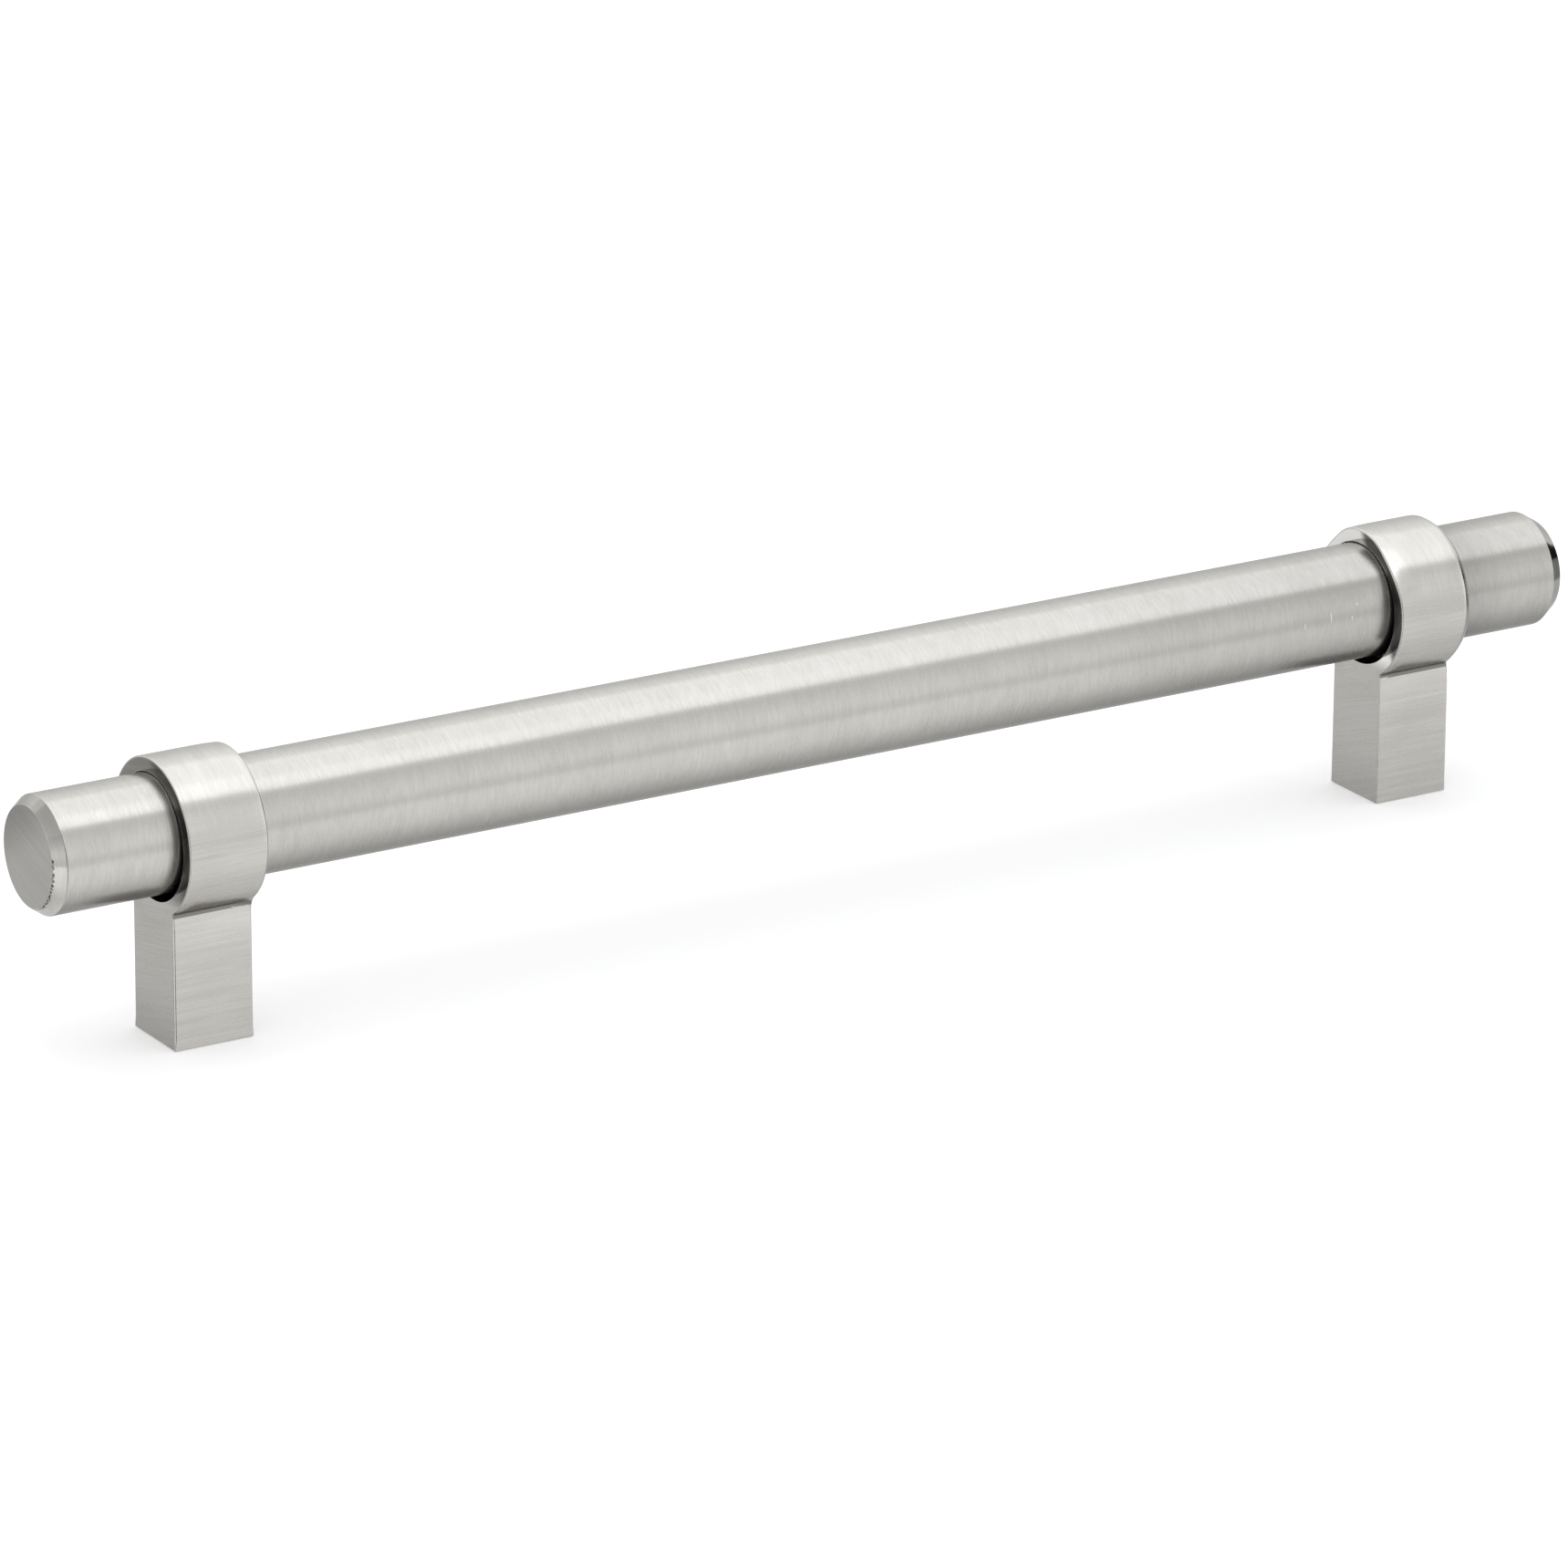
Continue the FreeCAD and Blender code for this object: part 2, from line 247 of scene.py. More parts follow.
def group_tree(
    title: str, kind: str, takes: dict[str, str], gives: dict[str, str], draw: Callable[..., Sequence[Value]]
) -> bpy.types.NodeTree:
    """Returns the node group of a title, and draws it the first time.

    Args:
        title: the group's name.
        kind: its tree's type.
        takes: its inputs' socket types, by their names.
        gives: its outputs' socket types, by their names.
        draw: takes a canvas and the inputs, and returns what goes to the outputs.
    """
    made = bpy.data.node_groups.get(title)
    if made:
        return made
    made = bpy.data.node_groups.new(title, kind)
    for way, sockets in (("INPUT", takes), ("OUTPUT", gives)):
        for name, socket_type in sockets.items():
            made.interface.new_socket(name=name, in_out=way, socket_type=socket_type)
    canvas = Canvas(made)
    taken = canvas.node("NodeGroupInput").outputs
    given = draw(canvas, *(Value(canvas, taken[name]) for name in takes))
    canvas.node("NodeGroupOutput", dict(enumerate(given)))
    return made


# Effects that several finishes share


@dataclass(frozen=True)
class Effect:
    """A shader group with its inputs and outputs, which each finish places with its own values."""

    title: str
    takes: tuple[str, ...]
    gives: tuple[str, ...]
    draw: Callable[..., Sequence[Value]]
    vectors: tuple[str, ...] = ("Vector", "Centre")

    def place(self, canvas: Canvas, *values: object) -> list[Value]:
        """Places the group, feeds its inputs in their order and returns its outputs."""
        vector, number = "NodeSocketVector", "NodeSocketFloat"
        takes = {name: vector if name in self.vectors else number for name in self.takes}
        gives = dict.fromkeys(self.gives, number)
        tree = group_tree(self.title, "ShaderNodeTree", takes, gives, self.draw)
        placed = canvas.node("ShaderNodeGroup", dict(enumerate(values)), node_tree=tree)
        return [Value(canvas, output) for output in placed.outputs]


@dataclass(frozen=True)
class LineLayer:
    """One layer of brush lines: how much wider and longer than the finest, its own shift, and its detail."""

    wider: float
    longer: float
    shift: float
    detail: float

    def noise(self, canvas: Canvas, parts: Sequence[Value], pitch: Value, length: Value) -> Value:
        """Returns the layer's noise at a spot whose first part runs across the lines."""
        across, *along = parts
        wide, reach = pitch * self.wider, length * self.longer
        place = canvas.combine(across / wide + self.shift, *(part / reach for part in along))
        return canvas.noise(place, 1.0, self.detail, 0.6)


FINE = LineLayer(1.0, 1.0, 0.0, 3.0)
MEDIUM = LineLayer(3.7, 1.8, 40.0, 2.0)
BROAD = LineLayer(14.0, 3.0, 90.0, 2.0)
SINGLE = LineLayer(2.1, 0.8, 150.0, 0.0)
SINGLE_FROM: Point = (0.68, 0.8)
HEIGHT_WEIGHTS = (0.55, 0.45, -0.12)
TONE_WEIGHTS = (0.45, 0.35, 0.2, -0.2)
TONE_RANGE: Point = (0.25, 0.75)


def draw_lines(
    canvas: Canvas, spot: Value, pitch: Value, length: Value, scratches: Value
) -> tuple[Value, Value]:
    """Adds fine, medium, broad and single lines together."""
    parts = canvas.separate(spot)
    fine, medium, broad, single = (
        layer.noise(canvas, parts, pitch, length) for layer in (FINE, MEDIUM, BROAD, SINGLE)
    )
    single = canvas.ramp(single, *SINGLE_FROM) * scratches
    tone = canvas.total((fine, medium, broad, single), TONE_WEIGHTS)
    return canvas.total((fine, medium, single), HEIGHT_WEIGHTS), canvas.ramp(tone, *TONE_RANGE)


def draw_pits(canvas: Canvas, spot: Value, spacing: Value, size: Value) -> tuple[Value]:
    """Gives a few cells of a cell pattern a tiny pit each, of its own size."""
    distance, chance, play = canvas.cells(spot, spacing)
    reach = size / spacing * canvas.ramp(play, 0.0, 1.0, start=0.4)
    return (canvas.ramp(distance / reach, low=1.0, high=0.45) * canvas.ramp(chance, low=0.62, high=0.66),)


def draw_clouding(canvas: Canvas, spot: Value, size: Value) -> tuple[Value]:
    """Draws the soft, broad unevenness of the plating."""
    return (canvas.ramp(canvas.noise(canvas.scale(spot, 1.0 / size), 1.0, detail=3.0), low=0.3, high=0.7),)


def draw_nick(canvas: Canvas, spot: Value, centre: Value, width: Value, length: Value) -> tuple[Value]:
    """Draws one short nick, by the distance to its centre in its own widths and lengths."""
    x, y, z = canvas.separate(canvas.vector("SUBTRACT", spot, centre))
    place = canvas.combine(x / width, y / length, z / length)
    return (canvas.ramp(canvas.length(place), low=1.0, high=0.4),)


def draw_edge_wear(canvas: Canvas, spot: Value, edge: Value, amount: Value) -> tuple[Value]:
    """Lets a noise eat into the wear along an edge."""
    kept = canvas.ramp(canvas.noise(spot, 0.55 / MM, detail=4.0), low=0.35, high=0.62)
    return (canvas.ramp(edge, low=0.1, high=0.8) * canvas.mix(kept, 0.35, 1.0) * amount,)


def draw_rim_distance(canvas: Canvas, spot: Value, centre: Value, radius: Value) -> tuple[Value]:
    """Measures the distance from a round rim that lies square to the bar."""
    x, y, z = canvas.separate(canvas.vector("SUBTRACT", spot, centre))
    out = canvas.length(canvas.combine(0.0, y, z)) - radius
    return (canvas.length(canvas.combine(x, out, 0.0)),)


def draw_chip_shadows(canvas: Canvas, spot: Value, edge: Value, size: Value) -> tuple[Value]:
    """Sets a speck of painted shadow in most cells of a cell pattern, the larger the nearer the edge's
    middle.
    """
    distance, chance, play = canvas.cells(spot, size)
    reach = canvas.ramp(play, 0.0, 1.0, start=0.5, end=0.8) * canvas.ramp(edge, low=0.1, high=0.6)
    chip_shadow = canvas.ramp(distance / canvas.math("MAXIMUM", reach, 0.01), low=1.0, high=0.6)
    return (chip_shadow * canvas.ramp(chance, low=0.15, high=0.2),)


LINES = Effect("Brush lines", ("Vector", "Pitch", "Length", "Scratches"), ("Height", "Tone"), draw_lines)
PITS = Effect("Pits", ("Vector", "Spacing", "Size"), ("Mask",), draw_pits)
CLOUDING = Effect("Clouding", ("Vector", "Size"), ("Value",), draw_clouding)
NICK = Effect("Nick", ("Vector", "Centre", "Width", "Length"), ("Mask",), draw_nick)
EDGE_WEAR = Effect("Edge wear", ("Vector", "Edge", "Amount"), ("Mask",), draw_edge_wear)
RIM_DISTANCE = Effect("Distance from a rim", ("Vector", "Centre", "Radius"), ("Distance",), draw_rim_distance)
CHIP_SHADOWS = Effect("Chip shadows", ("Vector", "Edge", "Size"), ("Mask",), draw_chip_shadows)


# Finishes


class Grain(Enum):
    """The way that a finish's brush lines run."""

    ROUND_BAR = "round the bar"
    ALONG_BAR = "along the bar"
    SLANTED = "slanted over a face"
    ROUND_UPRIGHT = "round an upright axis"


@dataclass(frozen=True)
class Shade:
    """A slow painted change of light and shade in a finish, along one direction, with its reach in
    millimetres.
    """

    towards: Triple
    low: float
    high: float
    at_low: float
    at_high: float

    def factor(self, canvas: Canvas, spot: Value) -> Value:
        """Returns the factor on the colour at a spot: above 1 paints light, below 1 paints shade."""
        reach = canvas.dot(spot, self.towards)
        return canvas.ramp(reach, self.low * MM, self.high * MM, self.at_low, self.at_high)


@dataclass(frozen=True)
class Rim:
    """A round edge that lies square to the bar: its place along the bar and its radius, in millimetres."""

    along: float
    radius: float
    axis_height: float = 24.0

    def distance(self, canvas: Canvas, spot: Value) -> Value:
        """Returns the distance from the rim."""
        centre = (self.along * MM, 0.0, self.axis_height * MM)
        return RIM_DISTANCE.place(canvas, spot, centre, self.radius * MM)[0]


@dataclass(frozen=True)
class NickMark:
    """One nick in a finish, painted bright as its glint: its centre and half length, in millimetres."""

    centre: Triple
    reach: float


@dataclass
class Skin:
    """What a finish has drawn so far. Its tone is 0 in the darkest brush lines and 1 in the lightest."""

    height: Value
    tone: Value
    colour: Value
    roughness: Value


@dataclass(frozen=True)
class BrushedMetal:
    """A brushed metal finish, with its sizes in millimetres."""

    name: str
    grain: Grain
    dark: Triple = (0.515, 0.50, 0.47)
    light: Triple = (0.59, 0.575, 0.545)
    edge_tint: Triple = (0.8, 0.8, 0.8)
    roughness: float = 0.27
    roughness_play: float = 0.04
    anisotropy: float = 0.7
    pitch: float = 0.1
    length: float = 1.4
    front_grain: Grain | None = None
    front_length: float = 9.0
    scratches: float = 0.35
    relief: float = 0.009
    slant: float = 45.0
    cloud_size: float = 9.0
    cloud_share: float = 0.2
    pits: float = 0.0
    pit_spacing: float = 5.0
    pit_relief: float = 1.5
    pit_colour: Triple = (0.09, 0.085, 0.08)
    nicks: tuple[NickMark, ...] = ()
    nick_width: float = 0.06
    # The nicks are real marks; their near-white colour is painted glint.
    nick_colour: Triple = (0.9, 0.895, 0.88)
    nick_noise: float = 2.2
    nick_shake: float = 0.16
    shades: tuple[Shade, ...] = ()
    rims: tuple[Rim, ...] = ()
    rim_reach: float = 0.14
    edge_wear: float = 0.25
    edge_roughness: float = 0.14
    worn: Triple = (0.74, 0.73, 0.705)
    root_dark: float = 0.36
    burr: Rim | None = None
    burr_towards: Triple = (0.0, -0.951, -0.309)
    burr_side: Point = (3.9, 4.9)
    burr_reach: float = 0.32
    burr_core: float = 0.05
    chip_shadow_size: float = 0.3

    def place(self, canvas: Canvas, spot: Value, grain: Grain) -> Value:
        """Returns the spot with the part across the brush lines first."""
        if grain is Grain.ROUND_BAR:
            return spot
        x, y, z = canvas.separate(spot)
        if grain is not Grain.SLANTED:
            return canvas.combine(z, x, y)
        cosine, sine = unit(self.slant)
        return canvas.combine(y * -sine + z * cosine, y * cosine + z * sine, x)

    def brush(self, canvas: Canvas, spot: Value, grain: Grain, length: float) -> list[Value]:
        """Returns the height and tone of brush lines of a grain and a length."""
        place = self.place(canvas, spot, grain)
        return LINES.place(canvas, place, self.pitch * MM, length * MM, self.scratches)

    def clean(self, canvas: Canvas, spot: Value) -> Skin:
        """Draws the clean metal, with the second grain where the mesh is marked for it."""
        lines = self.brush(canvas, spot, self.grain, self.length)
        if self.front_grain:
            front = canvas.mark(Mark.FRONT)
            others = self.brush(canvas, spot, self.front_grain, self.front_length)
            lines = [canvas.mix(front, own, other) for own, other in zip(lines, others)]
        cloud = CLOUDING.place(canvas, spot, self.cloud_size * MM)
        tone = canvas.total((lines[1], *cloud), (1.0 - self.cloud_share, self.cloud_share))
        colour = canvas.blend(tone, rgba(self.dark), rgba(self.light))
        play = self.roughness_play
        roughness = canvas.mix(tone, self.roughness + play, self.roughness - play)
        return Skin(lines[0], tone, colour, roughness)

    def shade(self, canvas: Canvas, spot: Value, skin: Skin) -> None:
        """Adds the slow shades and the shade of the root."""
        for shade in self.shades:
            skin.colour = canvas.scale(skin.colour, shade.factor(canvas, spot))
        skin.colour = canvas.scale(skin.colour, canvas.mix(canvas.mark(Mark.ROOT), 1.0, self.root_dark))

    def wear(self, canvas: Canvas, spot: Value, skin: Skin) -> None:
        """Brightens and smooths the edges."""
        edge = canvas.mark(Mark.EDGE)
        for rim in self.rims:
            near = canvas.ramp(rim.distance(canvas, spot), self.rim_reach * MM, 0.0)
            edge = canvas.math("MAXIMUM", edge, near)
        (worn,) = EDGE_WEAR.place(canvas, spot, edge, self.edge_wear)
        skin.colour = canvas.blend(worn, skin.colour, rgba(self.worn))
        skin.roughness = canvas.mix(edge, skin.roughness, self.edge_roughness)

    def nick(self, canvas: Canvas, spot: Value, skin: Skin) -> None:
        """Adds the nicks, which a fine noise makes jagged, in a near-white colour that paints their glint."""
        noise = canvas.noise(spot, self.nick_noise / MM, detail=1.0, out="Color")
        shift = canvas.scale(canvas.vector("SUBTRACT", noise, (0.5, 0.5, 0.5)), self.nick_shake * MM)
        shaken = canvas.vector("ADD", spot, shift)
        for nick in self.nicks:
            centre = [part * MM for part in nick.centre]
            (mask,) = NICK.place(canvas, shaken, centre, self.nick_width * MM, nick.reach * MM)
            skin.colour = canvas.blend(mask, skin.colour, rgba(self.nick_colour))

    def pit(self, canvas: Canvas, spot: Value, skin: Skin) -> None:
        """Adds the pits."""
        (mask,) = PITS.place(canvas, spot, self.pit_spacing * MM, self.pits * MM)
        skin.colour = canvas.blend(mask, skin.colour, rgba(self.pit_colour))
        skin.height = skin.height - mask * self.pit_relief

    def chip_shadow(self, canvas: Canvas, spot: Value, skin: Skin) -> None:
        """Adds dark specks along the ragged burr, which paint the shadow in its notches."""
        near = canvas.ramp(self.burr.distance(canvas, spot), self.burr_reach * MM, self.burr_core * MM)
        from_axis = canvas.vector("SUBTRACT", spot, (0.0, 0.0, self.burr.axis_height * MM))
        low, high = self.burr_side
        near = near * canvas.ramp(canvas.dot(from_axis, self.burr_towards), low * MM, high * MM)
        (mask,) = CHIP_SHADOWS.place(canvas, spot, near, self.chip_shadow_size * MM)
        skin.colour = canvas.blend(mask, skin.colour, rgba(self.pit_colour))

    def build(self) -> bpy.types.Material:
        """Returns the finish as a material, and builds it the first time."""
        material = bpy.data.materials.get(self.name)
        if material:
            return material
        material = bpy.data.materials.new(self.name)
        canvas = Canvas.over(material)
        spot = canvas.value("ShaderNodeTexCoord", out="Object")
        skin = self.clean(canvas, spot)
        self.shade(canvas, spot, skin)
        self.wear(canvas, spot, skin)
        for present, add in ((self.nicks, self.nick), (self.pits, self.pit), (self.burr, self.chip_shadow)):
            if present:
                add(canvas, spot, skin)
        relief = {"Strength": 1.0, "Distance": self.relief * MM, "Height": skin.height}
        feeds = {
            "Base Color": skin.colour,
            "Metallic": 1.0,
            "Roughness": skin.roughness,
            "Anisotropic": self.anisotropy,
            "Tangent": canvas.mark(Mark.ACROSS, "Vector"),
            "Specular Tint": rgba(self.edge_tint),
            "Normal": canvas.value("ShaderNodeBump", relief, "Normal"),
        }
        shader = canvas.value("ShaderNodeBsdfPrincipled", feeds)
        canvas.node("ShaderNodeOutputMaterial", {"Surface": shader})
        return material


@dataclass(frozen=True)
class CollaredFace(BrushedMetal):
    """The finish of a post's side face; the colours of its polished ring paint reflection and shade."""

    grain: Grain = Grain.SLANTED
    length: float = 9.0
    pitch: float = 0.12
    relief: float = 0.006
    # Painted reflection and shade: these dark ring colours and the ring's shade serve the end sides.
    ring_dark: Triple = (0.2, 0.19, 0.17)
    ring_light: Triple = (0.31, 0.298, 0.272)
    ring_roughness: float = 0.12
    ring_height: float = 23.6
    ring_reach: float = 8.9
    ring_soft: float = 0.3
    ring_low: float = -7.2
    ring_full: float = -5.2
    ring_relief: float = 0.08
    ring_shades: tuple[Shade, ...] = (Shade((0.0, -0.9, 0.44), 2.8, 5.2, 1.0, 0.4),)

    def clean(self, canvas: Canvas, spot: Value) -> Skin:
        """Draws the clean face, with the ring's painted reflection and shade, roughness and relief near the
        bore.
        """
        skin = super().clean(canvas, spot)
        _, y, z = canvas.separate(spot)
        above = z - self.ring_height * MM
        from_axis = canvas.combine(0.0, y, above)
        outer, inner = self.ring_reach + self.ring_soft, self.ring_reach - self.ring_soft
        ring = canvas.ramp(canvas.length(from_axis), outer * MM, inner * MM)
        ring = ring * canvas.ramp(above, self.ring_low * MM, self.ring_full * MM)
        # The ring's colour and its shades paint the reflection and shade that it shows round the bar.
        own = canvas.blend(skin.tone, rgba(self.ring_dark), rgba(self.ring_light))
        for shade in self.ring_shades:
            own = canvas.scale(own, shade.factor(canvas, from_axis))
        skin.colour = canvas.blend(ring, skin.colour, own)
        skin.roughness = canvas.mix(ring, skin.roughness, self.ring_roughness)
        skin.height = skin.height * canvas.mix(ring, 1.0, self.ring_relief)
        return skin


# Meshes


def as_object(name: str, mesh: bpy.types.Mesh) -> bpy.types.Object:
    """Returns a new object of the mesh, in the scene."""
    made = bpy.data.objects.new(name, mesh)
    bpy.context.scene.collection.objects.link(made)
    return made


def as_piece(name: str, shell: bmesh.types.BMesh) -> bpy.types.Object:
    """Returns a new object of the shell, which is freed."""
    mesh = bpy.data.meshes.new(name)
    shell.to_mesh(mesh)
    shell.free()
    return as_object(name, mesh)


def settle(piece: bpy.types.Object) -> None:
    """Turns what a piece's modifiers make into its plain mesh, and removes them."""
    graph = bpy.context.evaluated_depsgraph_get()
    raw = piece.data
    name = raw.name
    made = piece.evaluated_get(graph)
    mesh = bpy.data.meshes.new_from_object(made, preserve_all_data_layers=True, depsgraph=graph)
    piece.modifiers.clear()
    piece.data = mesh
    bpy.data.meshes.remove(raw)
    mesh.name = name


def discard(piece: bpy.types.Object) -> None:
    """Removes a helper object and its mesh."""
    mesh = piece.data
    bpy.data.objects.remove(piece)
    bpy.data.meshes.remove(mesh)


def tidy_shell(mesh: bpy.types.Mesh) -> None:
    """Merges a mesh's doubles and turns its faces outwards."""
    shell = bmesh.new()
    shell.from_mesh(mesh)
    bmesh.ops.remove_doubles(shell, verts=shell.verts, dist=WELD)
    bmesh.ops.dissolve_degenerate(shell, edges=shell.edges, dist=WELD)
    bmesh.ops.recalc_face_normals(shell, faces=shell.faces)
    shell.to_mesh(mesh)
    shell.free()


def cut_away(piece: bpy.types.Object, tools: Iterable[bpy.types.Object]) -> None:
    """Cuts the tools out of the piece and removes them."""
    for tool in tools:
        cut = piece.modifiers.new("Cut", "BOOLEAN")
        cut.operation = "DIFFERENCE"
        cut.solver = "EXACT"
        cut.object = tool
        settle(piece)
        discard(tool)


def smooth_over(piece: bpy.types.Object) -> None:
    """Shades a piece smoothly, with its flat faces kept flat."""
    piece.data.shade_smooth()
    normals = piece.modifiers.new("Normals", "WEIGHTED_NORMAL")
    normals.mode = "FACE_AREA"
    normals.weight = 90
    normals.keep_sharp = True
    settle(piece)


def write_mark(mesh: bpy.types.Mesh, mark: Mark, values: Iterable[float] | Iterable[Vector]) -> None:
    """Writes an attribute of the vertices: vectors for the directions across the grain, else numbers."""
    kind, part = ("FLOAT_VECTOR", "vector") if mark is Mark.ACROSS else ("FLOAT", "value")
    for slot, value in zip(mesh.attributes.new(mark.value, kind, "POINT").data, values):
        setattr(slot, part, value)


def lay_finishes(
    mesh: bpy.types.Mesh, finishes: Sequence[BrushedMetal], choose: Callable[[Vector, Vector], int]
) -> None:
    """Gives each face of a mesh one of the finishes.

    Args:
        mesh: the mesh to dress.
        finishes: the finishes, in the order of the mesh's material slots.
        choose: returns a finish's place for a face's centre and normal.
    """
    mesh.materials.clear()
    for finish in finishes:
        mesh.materials.append(finish.build())
    for face in mesh.polygons:
        face.material_index = choose(face.center, face.normal)


# Turned pieces


@dataclass(frozen=True)
class ProfilePoint:
    """A corner of a half profile, in millimetres: how far out and along, and any helical groove there."""

    out: float
    along: float
    groove_depth: float = 0.0
    groove_pitch: float = 1.0


class TurningTree:
    """The geometry tree that turns a half profile round an axis, with any helical groove of the profile."""

    SEGMENTS = "Segments"
    ALONG_BAR = "Along bar"
    FOOT = "Axis foot"
    FINISH = "Finish"
    GROOVE_STEEPNESS = 1.15

    @classmethod
    def build(cls) -> bpy.types.NodeTree:
        """Returns the tree, and builds it the first time."""
        takes = {
            "Half profile": "NodeSocketGeometry",
            cls.SEGMENTS: "NodeSocketInt",
            cls.ALONG_BAR: "NodeSocketBool",
            cls.FOOT: "NodeSocketVector",
            cls.FINISH: "NodeSocketMaterial",
        }
        gives = {"Piece": "NodeSocketGeometry"}
        return group_tree("Turned piece", "GeometryNodeTree", takes, gives, cls.draw)

    @classmethod
    def draw(
        cls, canvas: Canvas, profile: Value, segments: Value, along_bar: Value, foot: Value, finish: Value
    ) -> tuple[Value]:
        """Draws a grid with a row for each profile point, whose columns go round the axis."""
        points = canvas.value("GeometryNodeAttributeDomainSize", {0: profile}, component="MESH")
        columns = segments + 1.0
        shape = canvas.value("GeometryNodeMeshGrid", {"Vertices X": points, "Vertices Y": columns}, "Mesh")
        index = canvas.value("GeometryNodeInputIndex")
        row = canvas.math("FLOOR", (index + 0.5) / columns)
        turn = (index - row * columns) / segments
        angle = turn * (2.0 * math.pi)

        def sampled(value: Value, kind: str) -> Value:
            """Returns a value of the row's profile point."""
            feeds = {"Geometry": profile, "Value": value, "Index": row}
            return canvas.value("GeometryNodeSampleIndex", feeds, data_type=kind, domain="POINT")

        def groove(mark: Mark) -> Value:
            """Returns a measure of the row's groove."""
            named = canvas.value("GeometryNodeInputNamedAttribute", {"Name": mark.value}, data_type="FLOAT")
            return sampled(named, "FLOAT")

        out, along, _ = canvas.separate(sampled(canvas.value("GeometryNodeInputPosition"), "FLOAT_VECTOR"))
        pitch = canvas.math("MAXIMUM", groove(Mark.GROOVE_PITCH), WELD)
        phase = canvas.math("FRACT", along / pitch - turn)
        fold = canvas.math("ABSOLUTE", phase * 2.0 - 1.0)
        wave = canvas.math("MULTIPLY", 1.0 - fold, cls.GROOVE_STEEPNESS, clamp=True)
        radius = out + groove(Mark.GROOVE_DEPTH) * wave
        first = radius * canvas.math("COSINE", angle)
        second = radius * canvas.math("SINE", angle)
        standing = canvas.combine(first, second, along)
        lying = canvas.combine(along, first, second)
        feeds = {"Switch": along_bar, "False": standing, "True": lying}
        place = canvas.vector("ADD", canvas.value("GeometryNodeSwitch", feeds, input_type="VECTOR"), foot)
        shape = canvas.value("GeometryNodeSetPosition", {"Geometry": shape, "Position": place})
        shape = canvas.value("GeometryNodeMergeByDistance", {"Geometry": shape, "Distance": WELD})
        shape = canvas.value("GeometryNodeRealizeInstances", {0: shape})
        return (canvas.value("GeometryNodeSetMaterial", {"Geometry": shape, "Material": finish}),)


def turn_piece(
    name: str,
    profile: Sequence[ProfilePoint],
    segments: int,
    axis: Axis,
    foot: Triple,
    finish: BrushedMetal,
) -> bpy.types.Object:
    """Turns a half profile into a closed piece.

    Args:
        name: the new object's name.
        profile: the half profile, from the axis round to the axis again.
        segments: how many flats stand for the circle.
        axis: the way that the axis runs.
        foot: the point of the axis where the profile starts its lengths, in millimetres.
        finish: the finish of the whole piece.

    Returns:
        The piece, as a plain mesh with its place in it.
    """
    mesh = bpy.data.meshes.new(name)
    corners = [(point.out * MM, point.along * MM, 0.0) for point in profile]
    mesh.from_pydata(corners, list(pairwise(range(len(corners)))), [])
    write_mark(mesh, Mark.GROOVE_DEPTH, [point.groove_depth * MM for point in profile])
    write_mark(mesh, Mark.GROOVE_PITCH, [point.groove_pitch * MM for point in profile])
    piece = as_object(name, mesh)
    turning = piece.modifiers.new("Turning", "NODES")
    turning.node_group = TurningTree.build()
    values = {
        TurningTree.SEGMENTS: segments,
        TurningTree.ALONG_BAR: axis.value,
        TurningTree.FOOT: [part * MM for part in foot],
        TurningTree.FINISH: finish.build(),
    }
    for socket in turning.node_group.interface.items_tree:
        if socket.name in values:
            turning[socket.identifier] = values[socket.name]
    settle(piece)
    tidy_shell(piece.data)
    return piece


def rounded(corners: Sequence[Point], radii: Sequence[float], steps: int) -> list[Point]:
    """Rounds the corners of an open line of points.

    Args:
        corners: the line's points, in order.
        radii: the rounding at each point, 0 at both ends.
        steps: how many chords stand for a rounding.

    Returns:
        The line's points with each corner replaced by its arc.
    """
    points: list[Point] = []
    for place, (corner, radius) in enumerate(zip(corners, radii)):
        if radius <= 0.0:
            points.append(corner)
            continue
        here = Vector(corner)
        back = (Vector(corners[place - 1]) - here).normalized()
        ahead = (Vector(corners[place + 1]) - here).normalized()
        half = back.angle(ahead) / 2.0
        reach = radius / math.tan(half)
        centre = here + (back + ahead).normalized() * (radius / math.sin(half))
        start = here + back * reach - centre
        sweep = start.angle_signed(here + ahead * reach - centre)
        for step in range(steps + 1):
            turned = start.copy()
            turned.rotate(Matrix.Rotation(-sweep * step / steps, 2))
            points.append(tuple(centre + turned))
    return points


# The bar

END_RIMS = (Rim(-100.0, 5.8), Rim(100.0, 5.8))


